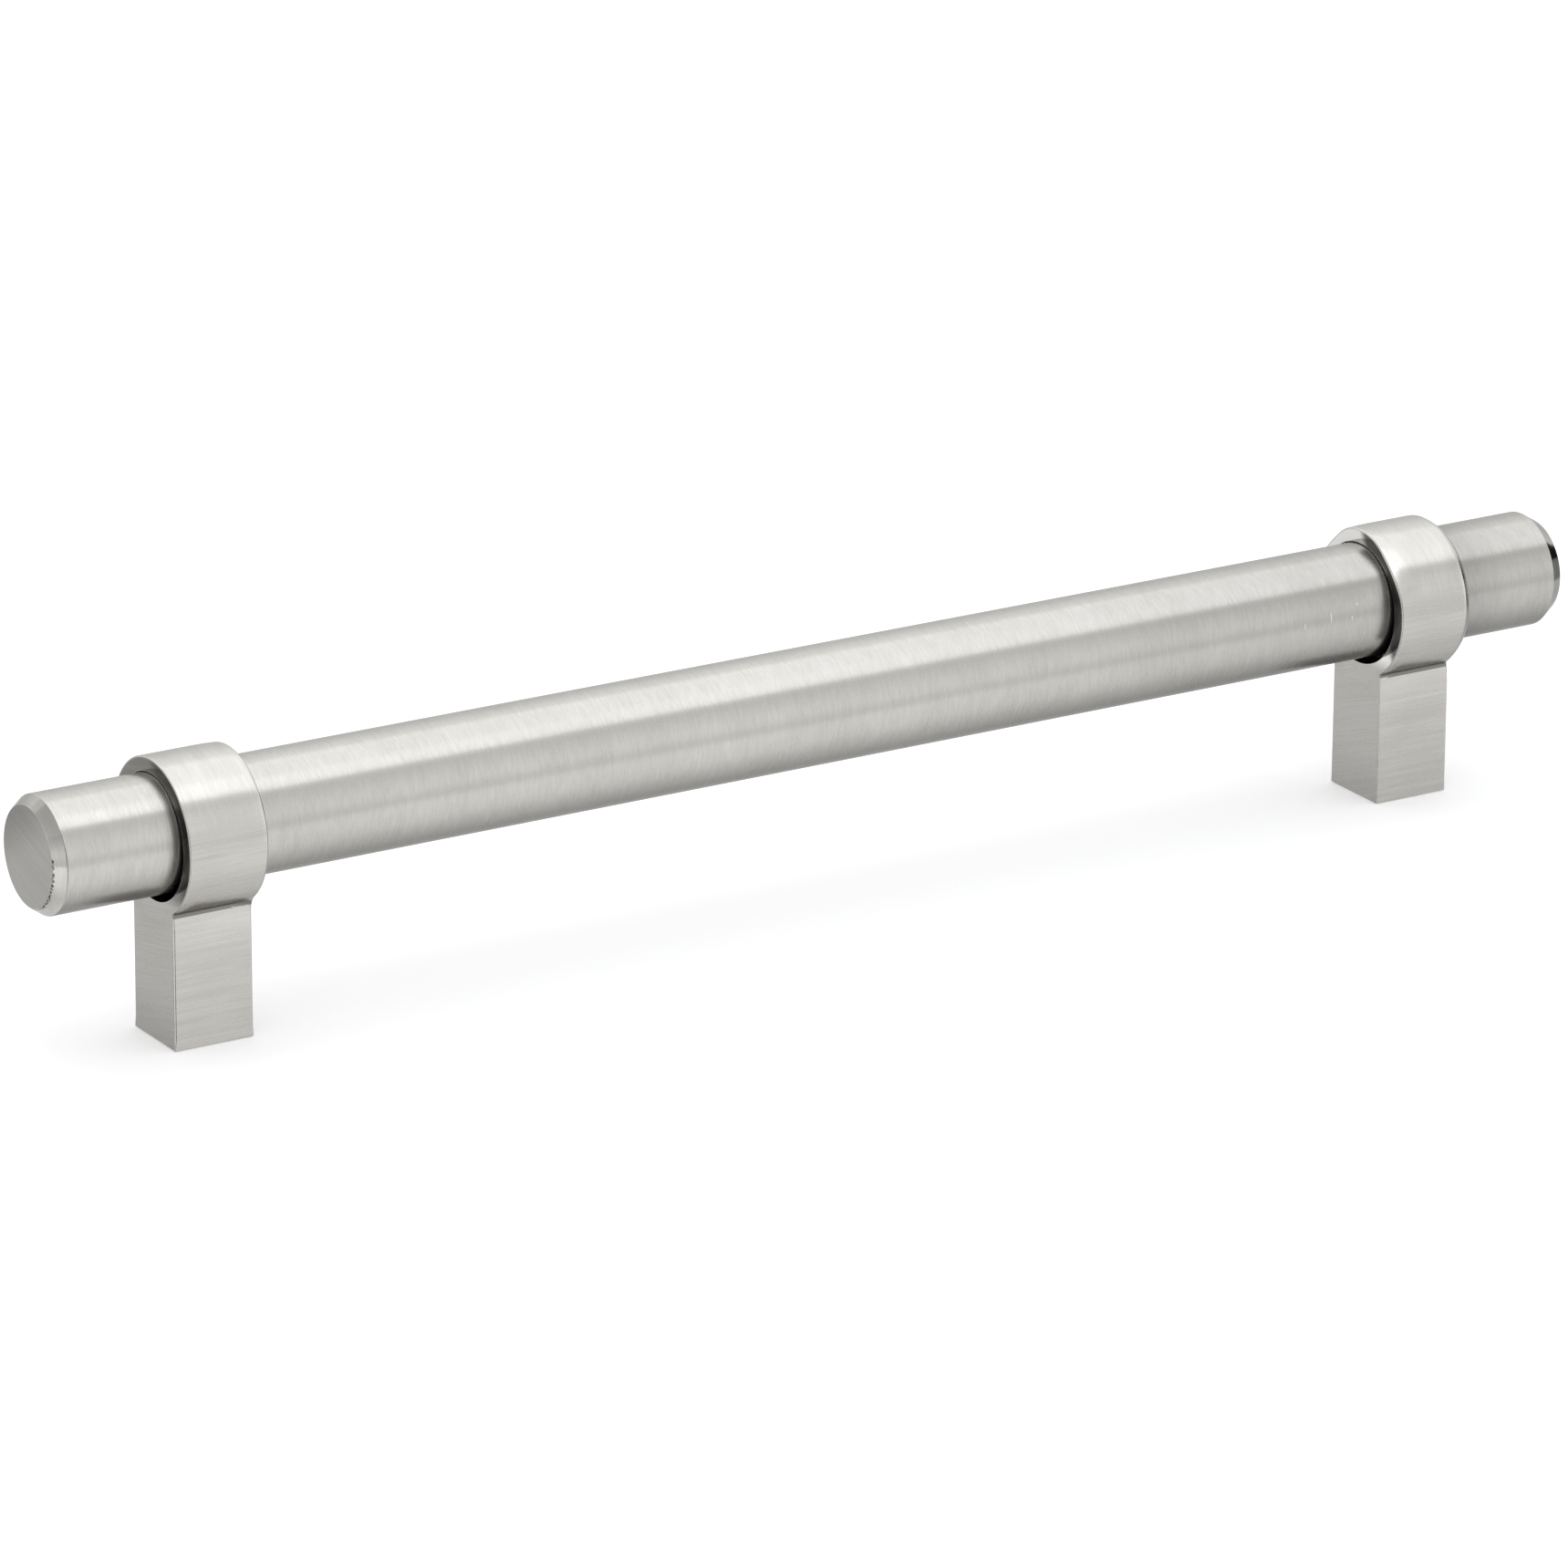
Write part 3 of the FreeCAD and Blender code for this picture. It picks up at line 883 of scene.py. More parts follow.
@dataclass
class Bar:
    """The round bar, with a chamfer at each end and a dimple over each grub screw. Lengths in millimetres."""

    length: float = 200.0
    radius: float = 6.8
    axis_height: float = 24.0
    chamfer_along: float = 1.35
    chamfer_across: float = 1.0
    face_edge: float = 0.06
    left_edge: float = 0.32
    right_edge: float = 0.12
    right_chamfer: float = 1.65
    face_rows: tuple[float, ...] = (0.25, 0.5, 0.75, 0.93, 0.975)
    chamfer_rows: tuple[float, ...] = (0.12, 0.25, 0.5)
    barrel_rows: int = 40
    arc_steps: int = 6
    segments: int = 256
    dimple_depth: float = 0.6
    dimple_segments: int = 24
    half_spacing: float = 80.0
    burr_from: float = -88.0
    burr_to: float = 14.0
    burr_depth: float = 0.07
    burr_reach: float = 0.12
    burr_fades: Point = (10.0, 30.0)
    burr_play: Point = (-1.0, 0.35)
    burr_lean: float = 0.5
    burr_seed: int = 11
    face_play: float = 0.01
    face_slope: float = 0.98
    chamfer_slope: float = 0.5
    barrel: BrushedMetal = BrushedMetal(
        "Satin nickel, bar",
        Grain.ROUND_BAR,
        dark=(0.49, 0.475, 0.445),
        light=(0.615, 0.6, 0.57),
        roughness=0.255,
        anisotropy=0.5,
        pits=0.15,
        nicks=(
            NickMark((66.55, -6.72, 25.1), 0.95),
            NickMark((69.46, -6.77, 24.65), 0.35),
            NickMark((62.85, -6.77, 24.65), 0.5),
            NickMark((70.3, -6.45, 26.1), 0.25),
        ),
        # Painted shade towards the right, darkest just past the right collar, lightening again to the end.
        shades=(
            Shade(ALONG, 10.0, 75.0, 1.0, 0.86),
            Shade(ALONG, 76.0, 84.0, 1.0, 0.79),
            Shade((1.0, 0.0, 0.15), 88.0, 97.0, 1.0, 1.28),
        ),
    )
    chamfer: BrushedMetal = BrushedMetal(
        "Turned nickel, bar chamfers",
        Grain.ROUND_BAR,
        dark=(0.55, 0.535, 0.505),
        light=(0.66, 0.645, 0.61),
        roughness=0.09,
        roughness_play=0.02,
        anisotropy=0.3,
        pitch=0.13,
        relief=0.004,
        rims=END_RIMS,
        edge_wear=0.2,
        burr=END_RIMS[0],
        # Painted shade towards the chamfers' tops and painted light towards their bottoms.
        shades=(Shade(UPWARDS, 25.5, 29.5, 1.0, 0.74), Shade(UPWARDS, 18.2, 21.0, 1.75, 1.0)),
    )
    end_face: BrushedMetal = BrushedMetal(
        "Satin nickel, bar ends",
        Grain.SLANTED,
        dark=(0.42, 0.41, 0.39),
        light=(0.52, 0.51, 0.485),
        slant=19.0,
        pitch=0.14,
        length=14.0,
        relief=0.007,
        rims=END_RIMS,
        edge_wear=0.1,
        burr=END_RIMS[0],
        # Painted shade: the end faces darken towards the top and the back.
        shades=(Shade((0.0, 0.45, 0.89), 21.0, 27.0, 1.0, 0.66),),
    )

    def end_profile(self, chamfer_along: float, barrel_edge: float) -> list[Point]:
        """Returns the half profile of one end, from the axis to the barrel.

        Args:
            chamfer_along: the chamfer's length along the bar.
            barrel_edge: the rounding between the chamfer and the barrel.
        """
        half = self.length / 2.0
        lip = self.radius - self.chamfer_across
        corners = [(0.0, -half), (lip, -half), (self.radius, chamfer_along - half), (self.radius, 0.0)]
        radii = [0.0, self.face_edge, barrel_edge, 0.0]
        end = rounded(corners, radii, self.arc_steps)[:-1]
        face = [(lip * share, -half) for share in self.face_rows]
        slope = [
            (lip + self.chamfer_across * share, chamfer_along * share - half) for share in self.chamfer_rows
        ]
        after_face = 1 + self.arc_steps + 1
        return [end[0], *face, *end[1:after_face], *slope, *end[after_face:]]

    def profile(self) -> list[ProfilePoint]:
        """Returns the half profile: face, chamfer, barrel, chamfer and face."""
        left = self.end_profile(self.chamfer_along, self.left_edge)
        far = self.end_profile(self.right_chamfer, self.right_edge)
        right = [(out, -along) for out, along in reversed(far)]
        start, stop = left[-1][1], right[0][1]
        step = (stop - start) / self.barrel_rows
        rows = [(self.radius, start + step * row) for row in range(1, self.barrel_rows)]
        return [ProfilePoint(out, along) for out, along in (*left, *rows, *right)]

    def build(self) -> bpy.types.Object:
        """Returns the bar, turned, dimpled, roughened at its burr, smoothed and marked."""
        foot = (0.0, 0.0, self.axis_height)
        piece = turn_piece("bar_visual", self.profile(), self.segments, Axis.ALONG_BAR, foot, self.barrel)
        cut_away(piece, [self.dimple(side) for side in (-1, 1)])
        self.raise_burr(piece.data)
        smooth_over(piece)
        self.mark(piece.data)
        return piece

    def dimple(self, side: int) -> bpy.types.Object:
        """Returns the tool for the dimple over one grub screw."""
        depth = self.dimple_depth
        points = [ProfilePoint(0.0, -depth), ProfilePoint(2.0 * depth, -depth), ProfilePoint(0.0, depth)]
        foot = (side * self.half_spacing, 0.0, self.axis_height - self.radius)
        return turn_piece(f"dimple_{side}", points, self.dimple_segments, Axis.UPRIGHT, foot, self.barrel)

    def burr_share(self, spot: Vector) -> float:
        """Returns how much a point belongs to the burr on the left end's edge: 1 on it and 0 away from it."""
        if spot.x > 0.0:
            return 0.0
        above = spot.z - self.axis_height * MM
        out = math.hypot(spot.y, above) - (self.radius - self.chamfer_across) * MM
        away = math.hypot(out, spot.x + self.length / 2.0 * MM) / MM
        angle = math.degrees(math.atan2(above, -spot.y))
        low = flow(self.burr_from, self.burr_from + self.burr_fades[0], angle)
        high = flow(self.burr_to - self.burr_fades[1], self.burr_to, angle)
        return low * (1.0 - high) * (1.0 - flow(0.0, self.burr_reach, away))

    def raise_burr(self, mesh: bpy.types.Mesh) -> None:
        """Makes the burr's edge ragged, without leaving the bar's own outline."""
        chance = random.Random(self.burr_seed)
        for vert in mesh.vertices:
            share = self.burr_share(vert.co)
            if share > 0.0:
                out = Vector((0.0, vert.co.y, vert.co.z - self.axis_height * MM)).normalized()
                shift = chance.uniform(*self.burr_play) * self.burr_depth * MM * share
                vert.co += out * shift + Vector((abs(shift) * self.burr_lean, 0.0, 0.0))

    def mark(self, mesh: bpy.types.Mesh) -> None:
        """Writes the grain's directions and lays the finishes by the faces' slopes."""
        half = (self.length / 2.0 - self.face_play) * MM
        cosine, sine = unit(self.end_face.slant)
        over_face, along = Vector((0.0, -sine, cosine)), Vector(ALONG)
        write_mark(mesh, Mark.ACROSS, [over_face if abs(v.co.x) > half else along for v in mesh.vertices])

        def choose(centre: Vector, normal: Vector) -> int:
            """Returns 2 for an end face, 1 for a chamfer and 0 for the barrel."""
            slope = abs(normal.x)
            return 2 if slope > self.face_slope else int(slope > self.chamfer_slope)

        lay_finishes(mesh, (self.barrel, self.chamfer, self.end_face), choose)

    def dress(self, piece: bpy.types.Object) -> None:
        """Puts the piece in the bar's place in the frame."""
        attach(piece, BODY)
        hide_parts("bar")


# The posts

THREAD_ROWS = 8.0


class Stretch(Enum):
    """The stretches of a post's outline."""

    FOOT = "foot"
    HEEL = "heel"
    COLUMN = "column"
    ROOT = "root"
    COLLAR = "collar"


@dataclass(frozen=True)
class OutlinePoint:
    """A point of a post's outline seen along the bar, with its outward direction and stretch."""

    y: float
    z: float
    out_y: float
    out_z: float
    stretch: Stretch

    def inset(self, depth: float) -> Point:
        """Returns the point moved inwards by a depth."""
        return self.y - self.out_y * depth, self.z - self.out_z * depth

    def towards(self, other: "OutlinePoint", share: float) -> "OutlinePoint":
        """Returns the point moved a share of the way to the same point of another outline."""
        own = (self.y, self.z, self.out_y, self.out_z)
        far = (other.y, other.z, other.out_y, other.out_z)
        return OutlinePoint(*(a + (b - a) * share for a, b in zip(own, far)), self.stretch)

    def mirrored(self) -> "OutlinePoint":
        """Returns the same point on the other side."""
        return OutlinePoint(-self.y, self.z, -self.out_y, self.out_z, self.stretch)


@dataclass
class Post:
    """One post: a square column that flows into a bored collar, with a stepped, threaded hole from below.

    Lengths are in millimetres. The crown is what polishing has taken off the collar near the pull's middle.
    """

    node: str
    centre: float
    to_middle: int
    half_width: float = 4.9
    half_depth: float = 4.7
    collar_radius: float = 9.0
    collar_height: float = 23.6
    bore_radius: float = 7.25
    bore_mouth: float = 0.12
    root_radius: float = 0.4
    root_opened: float = 0.45
    root_below: float = 0.2
    root_reach: float = 2.8
    root_soft: float = 0.12
    root_shade: float = 2.7
    root_fade: Point = (0.6, 1.05)
    root_lean: float = 0.3
    root_width: float = 0.996
    root_left: float = 0.35
    root_left_from: Point = (-1.0, -0.6)
    root_right: float = 0.7
    root_right_from: Point = (0.5, 1.0)
    heel_radius: float = 0.1
    foot_fade: Point = (0.1, 1.4)
    ring_from: Point = (13.0, 17.5)
    turned_from: float = -7.6
    front_from: Point = (0.1, 0.6)
    edge_starts: Point = (0.12, 0.4)
    edge_ends: Point = (0.85, 0.99)
    side_play: float = 0.02
    side_slope: float = 0.995
    bore_play: float = 0.06
    column_edge: float = 0.28
    end_edge: float = 0.17
    middle_edge: float = 0.2
    end_bevel: float = 1.0
    end_power: float = 2.0
    crown_depth: float = 0.16
    crown_width: float = 2.4
    crown_rise: Point = (-0.85, 0.3)
    crown_fall: Point = (0.8, 1.18)
    screw_mouth: float = 2.15
    screw_radius: float = 1.65
    screw_thread: float = 0.33
    screw_pitch: float = 0.7
    screw_depth: float = 10.0
    screw_runout: float = 0.4
    grub_runout: float = 0.3
    drill_from: float = -1.0
    drill_into_bore: float = 5.0
    grub_radius: float = 1.25
    grub_thread: float = 0.22
    grub_pitch: float = 0.5
    foot_rows: int = 8
    heel_rows: int = 6
    column_rows: int = 32
    root_rows: int = 12
    collar_rows: int = 96
    edge_rows: int = 7
    wrap_rows: int = 24
    mouth_rows: int = 3
    bore_rows: int = 8
    bore_segments: int = 192
    hole_segments: int = 48
    wrap: BrushedMetal = BrushedMetal(
        "Satin nickel, post wrap",
        Grain.ROUND_BAR,
        front_grain=Grain.ALONG_BAR,
        dark=(0.49, 0.475, 0.445),
        light=(0.615, 0.6, 0.57),
        pitch=0.14,
        length=2.6,
        # Painted light and shade by height: darker at the foot, lightest just under the collar; lighter on
        # the left post.
        shades=(
            Shade(UPWARDS, 0.0, 9.0, 0.87, 0.94),
            Shade(UPWARDS, 9.0, 15.5, 1.0, 1.15),
            Shade(UPWARDS, 15.9, 16.6, 1.0, 1.17),
            Shade(UPWARDS, 18.0, 20.5, 1.0, 0.79),
            Shade(UPWARDS, 25.0, 28.0, 1.0, 1.05),
            Shade((1.0, 0.0, -3.0), -20.0, 15.0, 1.04, 0.94),
        ),
    )
    end_side: BrushedMetal = CollaredFace(
        "Satin nickel, post end sides",
        slant=-12.0,
        # Painted shade: the side faces darken towards the foot.
        shades=(Shade(UPWARDS, 0.0, 7.0, 0.84, 1.0),),
    )
    middle_side: BrushedMetal = CollaredFace(
        "Satin nickel, post middle sides",
        slant=-20.0,
        # Painted shade: the side faces darken towards the foot.
        shades=(Shade(UPWARDS, 0.0, 7.0, 0.88, 1.02),),
        # Painted reflection: light ring colours, with painted shade towards the upper front beside the bar
        # and painted light towards the bottom.
        ring_dark=(0.8, 0.79, 0.765),
        ring_light=(0.9, 0.89, 0.87),
        ring_roughness=0.1,
        ring_shades=(
            Shade((0.0, -0.9, 0.44), 3.4, 4.8, 1.0, 0.17),
            Shade((0.0, 0.0, -1.0), 4.0, 6.5, 1.0, 1.1),
        ),
    )
    # The bores' near-black colour is painted shade inside the collars.
    bore: BrushedMetal = BrushedMetal(
        "Turned nickel, bores in painted shade",
        Grain.ROUND_BAR,
        dark=(0.05, 0.048, 0.045),
        light=(0.1, 0.096, 0.09),
        roughness=0.4,
        pitch=0.2,
    )
    hole: BrushedMetal = BrushedMetal(
        "Threaded nickel, holes",
        Grain.ROUND_UPRIGHT,
        dark=(0.3, 0.29, 0.27),
        light=(0.42, 0.41, 0.38),
    )

    def root_drop(self, root: float) -> float:
        """Returns how far under the collar's axis the column ends, for a radius of the fillet there."""
        return math.sqrt((self.collar_radius + root) ** 2 - (self.half_depth + root) ** 2)

    def outline(self, root: float) -> list[OutlinePoint]:
        """Returns the post's outline seen along the bar, from the middle of the foot round over the collar.

        Args:
            root: the radius of the fillet between the column and the collar.
        """
        drop = self.root_drop(root)
        level = self.collar_height - drop
        lean = math.degrees(math.atan2(drop, self.half_depth + root))
        heel = self.half_depth - self.heel_radius
        half: list[OutlinePoint] = []
        for row in range(self.foot_rows):
            half.append(OutlinePoint(heel * row / self.foot_rows, 0.0, 0.0, -1.0, Stretch.FOOT))
        for cosine, sine in arc(-90.0, 90.0, self.heel_rows):
            y, z = heel + self.heel_radius * cosine, self.heel_radius * (1.0 + sine)
            half.append(OutlinePoint(y, z, cosine, sine, Stretch.HEEL))
        span = level - self.heel_radius
        levels = [self.heel_radius + span * row / self.column_rows for row in range(1, self.column_rows)]
        shaded = level - self.root_below
        for z in (*levels, shaded - self.root_soft, shaded):
            half.append(OutlinePoint(self.half_depth, z, 1.0, 0.0, Stretch.COLUMN))
        for cosine, sine in arc(180.0, -lean, self.root_rows):
            y = self.half_depth + root + root * cosine
            half.append(OutlinePoint(y, level + root * sine, -cosine, -sine, Stretch.ROOT))
        for cosine, sine in arc(-lean, 90.0 + lean, self.collar_rows)[1:]:
            y, z = self.collar_radius * cosine, self.collar_height + self.collar_radius * sine
            half.append(OutlinePoint(y, z, cosine, sine, Stretch.COLLAR))
        return half + [point.mirrored() for point in reversed(half[1:-1])]

    def edge_radius(self, point: OutlinePoint, ring_edge: float) -> float:
        """Returns the rounding between the wrap and a side face, given what it is on the ring."""
        if point.stretch in (Stretch.FOOT, Stretch.HEEL):
            return self.heel_radius
        column = self.heel_radius + (self.column_edge - self.heel_radius) * flow(*self.foot_fade, point.z)
        return column + (ring_edge - column) * flow(*self.ring_from, point.z)

    def crown(self, point: OutlinePoint, from_middle: float) -> float:
        """Returns how far polishing has lowered the collar near its edge towards the pull's middle."""
        if point.stretch is not Stretch.COLLAR:
            return 0.0
        share = flow(*self.crown_rise, point.out_z) * (1.0 - flow(*self.crown_fall, point.out_z))
        near = max(0.0, 1.0 - from_middle / self.crown_width)
        return self.crown_depth * share * near * near

    def stations(self, point: OutlinePoint) -> list[Point]:
        """Returns pairs of place along the bar and inset across the wrap, from the end's side face on."""
        radius = self.edge_radius(point, self.end_edge)
        on_ring = flow(*self.ring_from, point.z)
        bevel = radius * (1.0 + (self.end_bevel - 1.0) * on_ring)
        power = 2.0 / (2.0 + (self.end_power - 2.0) * on_ring)
        turns = arc(0.0, 90.0, self.edge_rows)
        pairs = [(radius * (1.0 - abs(c) ** power), bevel * (1.0 - abs(s) ** power)) for c, s in turns]
        span = 2.0 * self.half_width
        inner = self.edge_radius(point, self.middle_edge)
        flat = span - inner - radius
        pairs += [(radius + flat * row / self.wrap_rows, 0.0) for row in range(1, self.wrap_rows)]
        pairs += [(span - inner * (1.0 - sine), inner * (1.0 - cosine)) for cosine, sine in turns]
        return [(along, depth + self.crown(point, span - along)) for along, depth in pairs]

    def place(self, along: float, y: float, z: float) -> Vector:
        """Returns a point in metres, given how far it is from the end's side face."""
        return Vector((self.centre + self.to_middle * (along - self.half_width), y, z)) * MM

    def build(self) -> bpy.types.Object:
        """Returns the post, cast, bored, drilled, smoothed and marked."""
        shell = bmesh.new()
        rims = self.add_wrap(shell)
        mouths = self.add_bore(shell)
        for rim, mouth in zip(rims, mouths):
            self.fill_between(shell, rim, mouth)
        bmesh.ops.remove_doubles(shell, verts=shell.verts, dist=WELD)
        bmesh.ops.recalc_face_normals(shell, faces=shell.faces)
        piece = as_piece(f"{self.node}_visual", shell)
        cut_away(piece, [self.drill()])
        tidy_shell(piece.data)
        smooth_over(piece)
        self.mark(piece.data)
        return piece

    def add_wrap(self, shell: bmesh.types.BMesh) -> list[Verts]:
        """Adds the outer wrap, whose root opens towards the middle, and returns its rim at each side face."""
        span = 2.0 * self.half_width
        rows = []
        for point, opened in zip(self.outline(self.root_radius), self.outline(self.root_opened)):
            row = []
            for along, depth in self.stations(point):
                y, z = point.towards(opened, flow(span - self.root_reach, span, along)).inset(depth)
                row.append(shell.verts.new(self.place(along, y, z)))
            rows.append(row)
        for row, following in pairwise([*rows, rows[0]]):
            for (near, far), (near_after, far_after) in zip(pairwise(row), pairwise(following)):
                shell.faces.new((near, far, far_after, near_after))
        return [[row[0] for row in rows], [row[-1] for row in rows]]

    def add_bore(self, shell: bmesh.types.BMesh) -> list[Verts]:
        """Adds the bore, and returns its mouth at each side face."""
        span = 2.0 * self.half_width
        mouth = self.bore_mouth
        pairs = [(mouth * (1.0 - s), mouth * (1.0 - c)) for c, s in arc(90.0, -90.0, self.mouth_rows)]
        far = [(span - along, out) for along, out in reversed(pairs)]
        pairs += [(span * row / self.bore_rows, 0.0) for row in range(1, self.bore_rows)] + far
        turns = arc(0.0, 360.0, self.bore_segments)[:-1]
        rings = []
        for along, out in pairs:
            radius = self.bore_radius + out
            spots = [self.place(along, radius * c, self.collar_height + radius * s) for c, s in turns]
            rings.append([shell.verts.new(spot) for spot in spots])
        for ring, following in pairwise(rings):
            sides = zip(pairwise([*ring, ring[0]]), pairwise([*following, following[0]]))
            for (near, after), (far_near, far_after) in sides:
                shell.faces.new((near, after, far_after, far_near))
        return [rings[0], rings[-1]]

    def fill_between(self, shell: bmesh.types.BMesh, rim: Verts, mouth: Verts) -> None:
        """Fills a side face between the wrap's rim and the bore's mouth."""
        bmesh.ops.remove_doubles(shell, verts=rim, dist=WELD)
        edges: list[bmesh.types.BMEdge] = []
        for loop in (rim, mouth):
            kept = [vert for vert in loop if vert.is_valid]
            found = (shell.edges.get(pair) for pair in pairwise([*kept, kept[0]]))
            edges += [edge for edge in found if edge]
        bmesh.ops.triangle_fill(shell, use_beauty=True, use_dissolve=False, edges=edges)

    def drill(self) -> bpy.types.Object:
        """Returns the tool for the stepped, threaded hole."""
        mouth, start = self.screw_mouth, self.drill_from
        neck, end = mouth - self.screw_radius, self.screw_depth - self.screw_runout
        points = [ProfilePoint(0.0, start), ProfilePoint(mouth, start), ProfilePoint(mouth, 0.0)]
        points.append(ProfilePoint(self.screw_radius, neck, 0.0, self.screw_pitch))
        points += self.thread(self.screw_radius, neck, end, self.screw_thread, self.screw_pitch)
        points.append(ProfilePoint(self.screw_radius, self.screw_depth, 0.0, self.screw_pitch))
        points.append(ProfilePoint(self.grub_radius, self.screw_depth, 0.0, self.grub_pitch))
        top = self.collar_height - self.bore_radius - self.grub_runout
        points += self.thread(self.grub_radius, self.screw_depth, top, self.grub_thread, self.grub_pitch)
        inside_bore = self.collar_height - self.drill_into_bore
        points += [ProfilePoint(self.grub_radius, inside_bore), ProfilePoint(0.0, inside_bore)]
        foot = (self.centre, 0.0, 0.0)
        return turn_piece(f"drill_{self.node}", points, self.hole_segments, Axis.UPRIGHT, foot, self.hole)

    @staticmethod
    def thread(radius: float, low: float, high: float, depth: float, pitch: float) -> list[ProfilePoint]:
        """Returns the points of a threaded stretch, whose groove fades in and out over its end turns."""
        rows = round((high - low) / pitch * THREAD_ROWS)
        points = []
        for row in range(1, rows):
            along = low + (high - low) * row / rows
            fade = min(flow(low, low + pitch, along), 1.0 - flow(high - pitch, high, along))
            points.append(ProfilePoint(radius, along, depth * fade, pitch))
        return points

    def edge_share(self, vert: bpy.types.MeshVertex) -> float:
        """Returns 1 on the rounding between the wrap and a side face, and 0 on both of them."""
        tilt = abs(vert.normal.x)
        return flow(*self.edge_starts, tilt) * (1.0 - flow(*self.edge_ends, tilt))

    def lower_share(self, spot: Vector) -> float:
        """Returns 1 under the collar's upper front and 0 above it, for a spot measured from the axis."""
        out = math.hypot(spot.y, spot.z)
        return 1.0 - flow(*self.front_from, spot.z / out) if out > 0.0 else 0.0

    def root_share(self, spot: Vector) -> float:
        """Returns how deep a point lies in the shade under the collar: 1 at the crease and 0 away from it."""
        above = spot.z / MM - (self.collar_height - self.root_drop(self.root_radius))
        along = (spot.x / MM - self.centre) / self.half_width
        if abs(along) > self.root_width or above < -self.root_below - self.side_play:
            return 0.0
        left = self.root_left + (1.0 - self.root_left) * flow(*self.root_left_from, along)
        right = 1.0 - self.root_right * flow(*self.root_right_from, along)
        reach = self.root_shade * (1.0 - self.root_lean * along) * (left * right)
        away = math.hypot(abs(spot.y) / MM - self.half_depth, above)
        return 1.0 - flow(*self.root_fade, away / reach)

    def across(self, spot: Vector, over_side: Vector) -> Vector:
        """Returns the direction across the brush lines.

        Args:
            spot: a point, from the collar's centre.
            over_side: the direction on the side faces of the column.
        """
        on_ring = spot.z > self.turned_from * MM
        if abs(spot.x) > self.side_from():
            return Vector((0.0, spot.y, spot.z)).normalized() if on_ring else over_side
        lower = self.lower_share(spot)
        way = Vector((0.0, spot.z, -spot.y)).normalized() if on_ring else Vector(UPWARDS)
        if spot.y > 0.0:
            way = -way
        return (Vector(ALONG) * (1.0 - lower) + way * lower).normalized()

    def side_from(self) -> float:
        """Returns how far from the post's middle its side faces start, in metres."""
        return (self.half_width - self.side_play) * MM

    def mark(self, mesh: bpy.types.Mesh) -> None:
        """Writes the grain's directions, the worn edges and the root's shade, and lays the finishes."""
        axis = Vector((self.centre, 0.0, self.collar_height)) * MM
        cosine, sine = unit(self.end_side.slant)
        over_side = Vector((0.0, -sine, cosine))
        spots = [vert.co - axis for vert in mesh.vertices]
        write_mark(mesh, Mark.ACROSS, [self.across(spot, over_side) for spot in spots])
        write_mark(mesh, Mark.FRONT, [self.lower_share(spot) for spot in spots])
        write_mark(mesh, Mark.EDGE, [self.edge_share(vert) for vert in mesh.vertices])
        write_mark(mesh, Mark.ROOT, [self.root_share(vert.co) for vert in mesh.vertices])
        bore = (self.bore_radius + self.bore_play) * MM
        hole = (self.screw_mouth + self.side_play) * MM
        finishes = (self.wrap, self.end_side, self.bore, self.hole, self.middle_side)
        on_wrap, on_end, on_bore, on_hole, on_middle = range(len(finishes))

        def choose(centre: Vector, normal: Vector) -> int:
            """Returns the place of the finish for a face of the bore, the hole, a side or the wrap."""
            x, y, z = centre - axis
            if math.hypot(y, z) < bore:
                return on_bore
            if math.hypot(x, y) < hole and WELD < centre.z < self.collar_height * MM:
                return on_hole
            if abs(normal.x) < self.side_slope or abs(x) < self.side_from():
                return on_wrap
            return on_middle if x * self.to_middle > 0.0 else on_end

        lay_finishes(mesh, finishes, choose)

    def dress(self, piece: bpy.types.Object) -> None:
        """Puts the piece in the post's place in the frame."""
        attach(piece, BODY)
        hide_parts(self.node)


# The grub screws


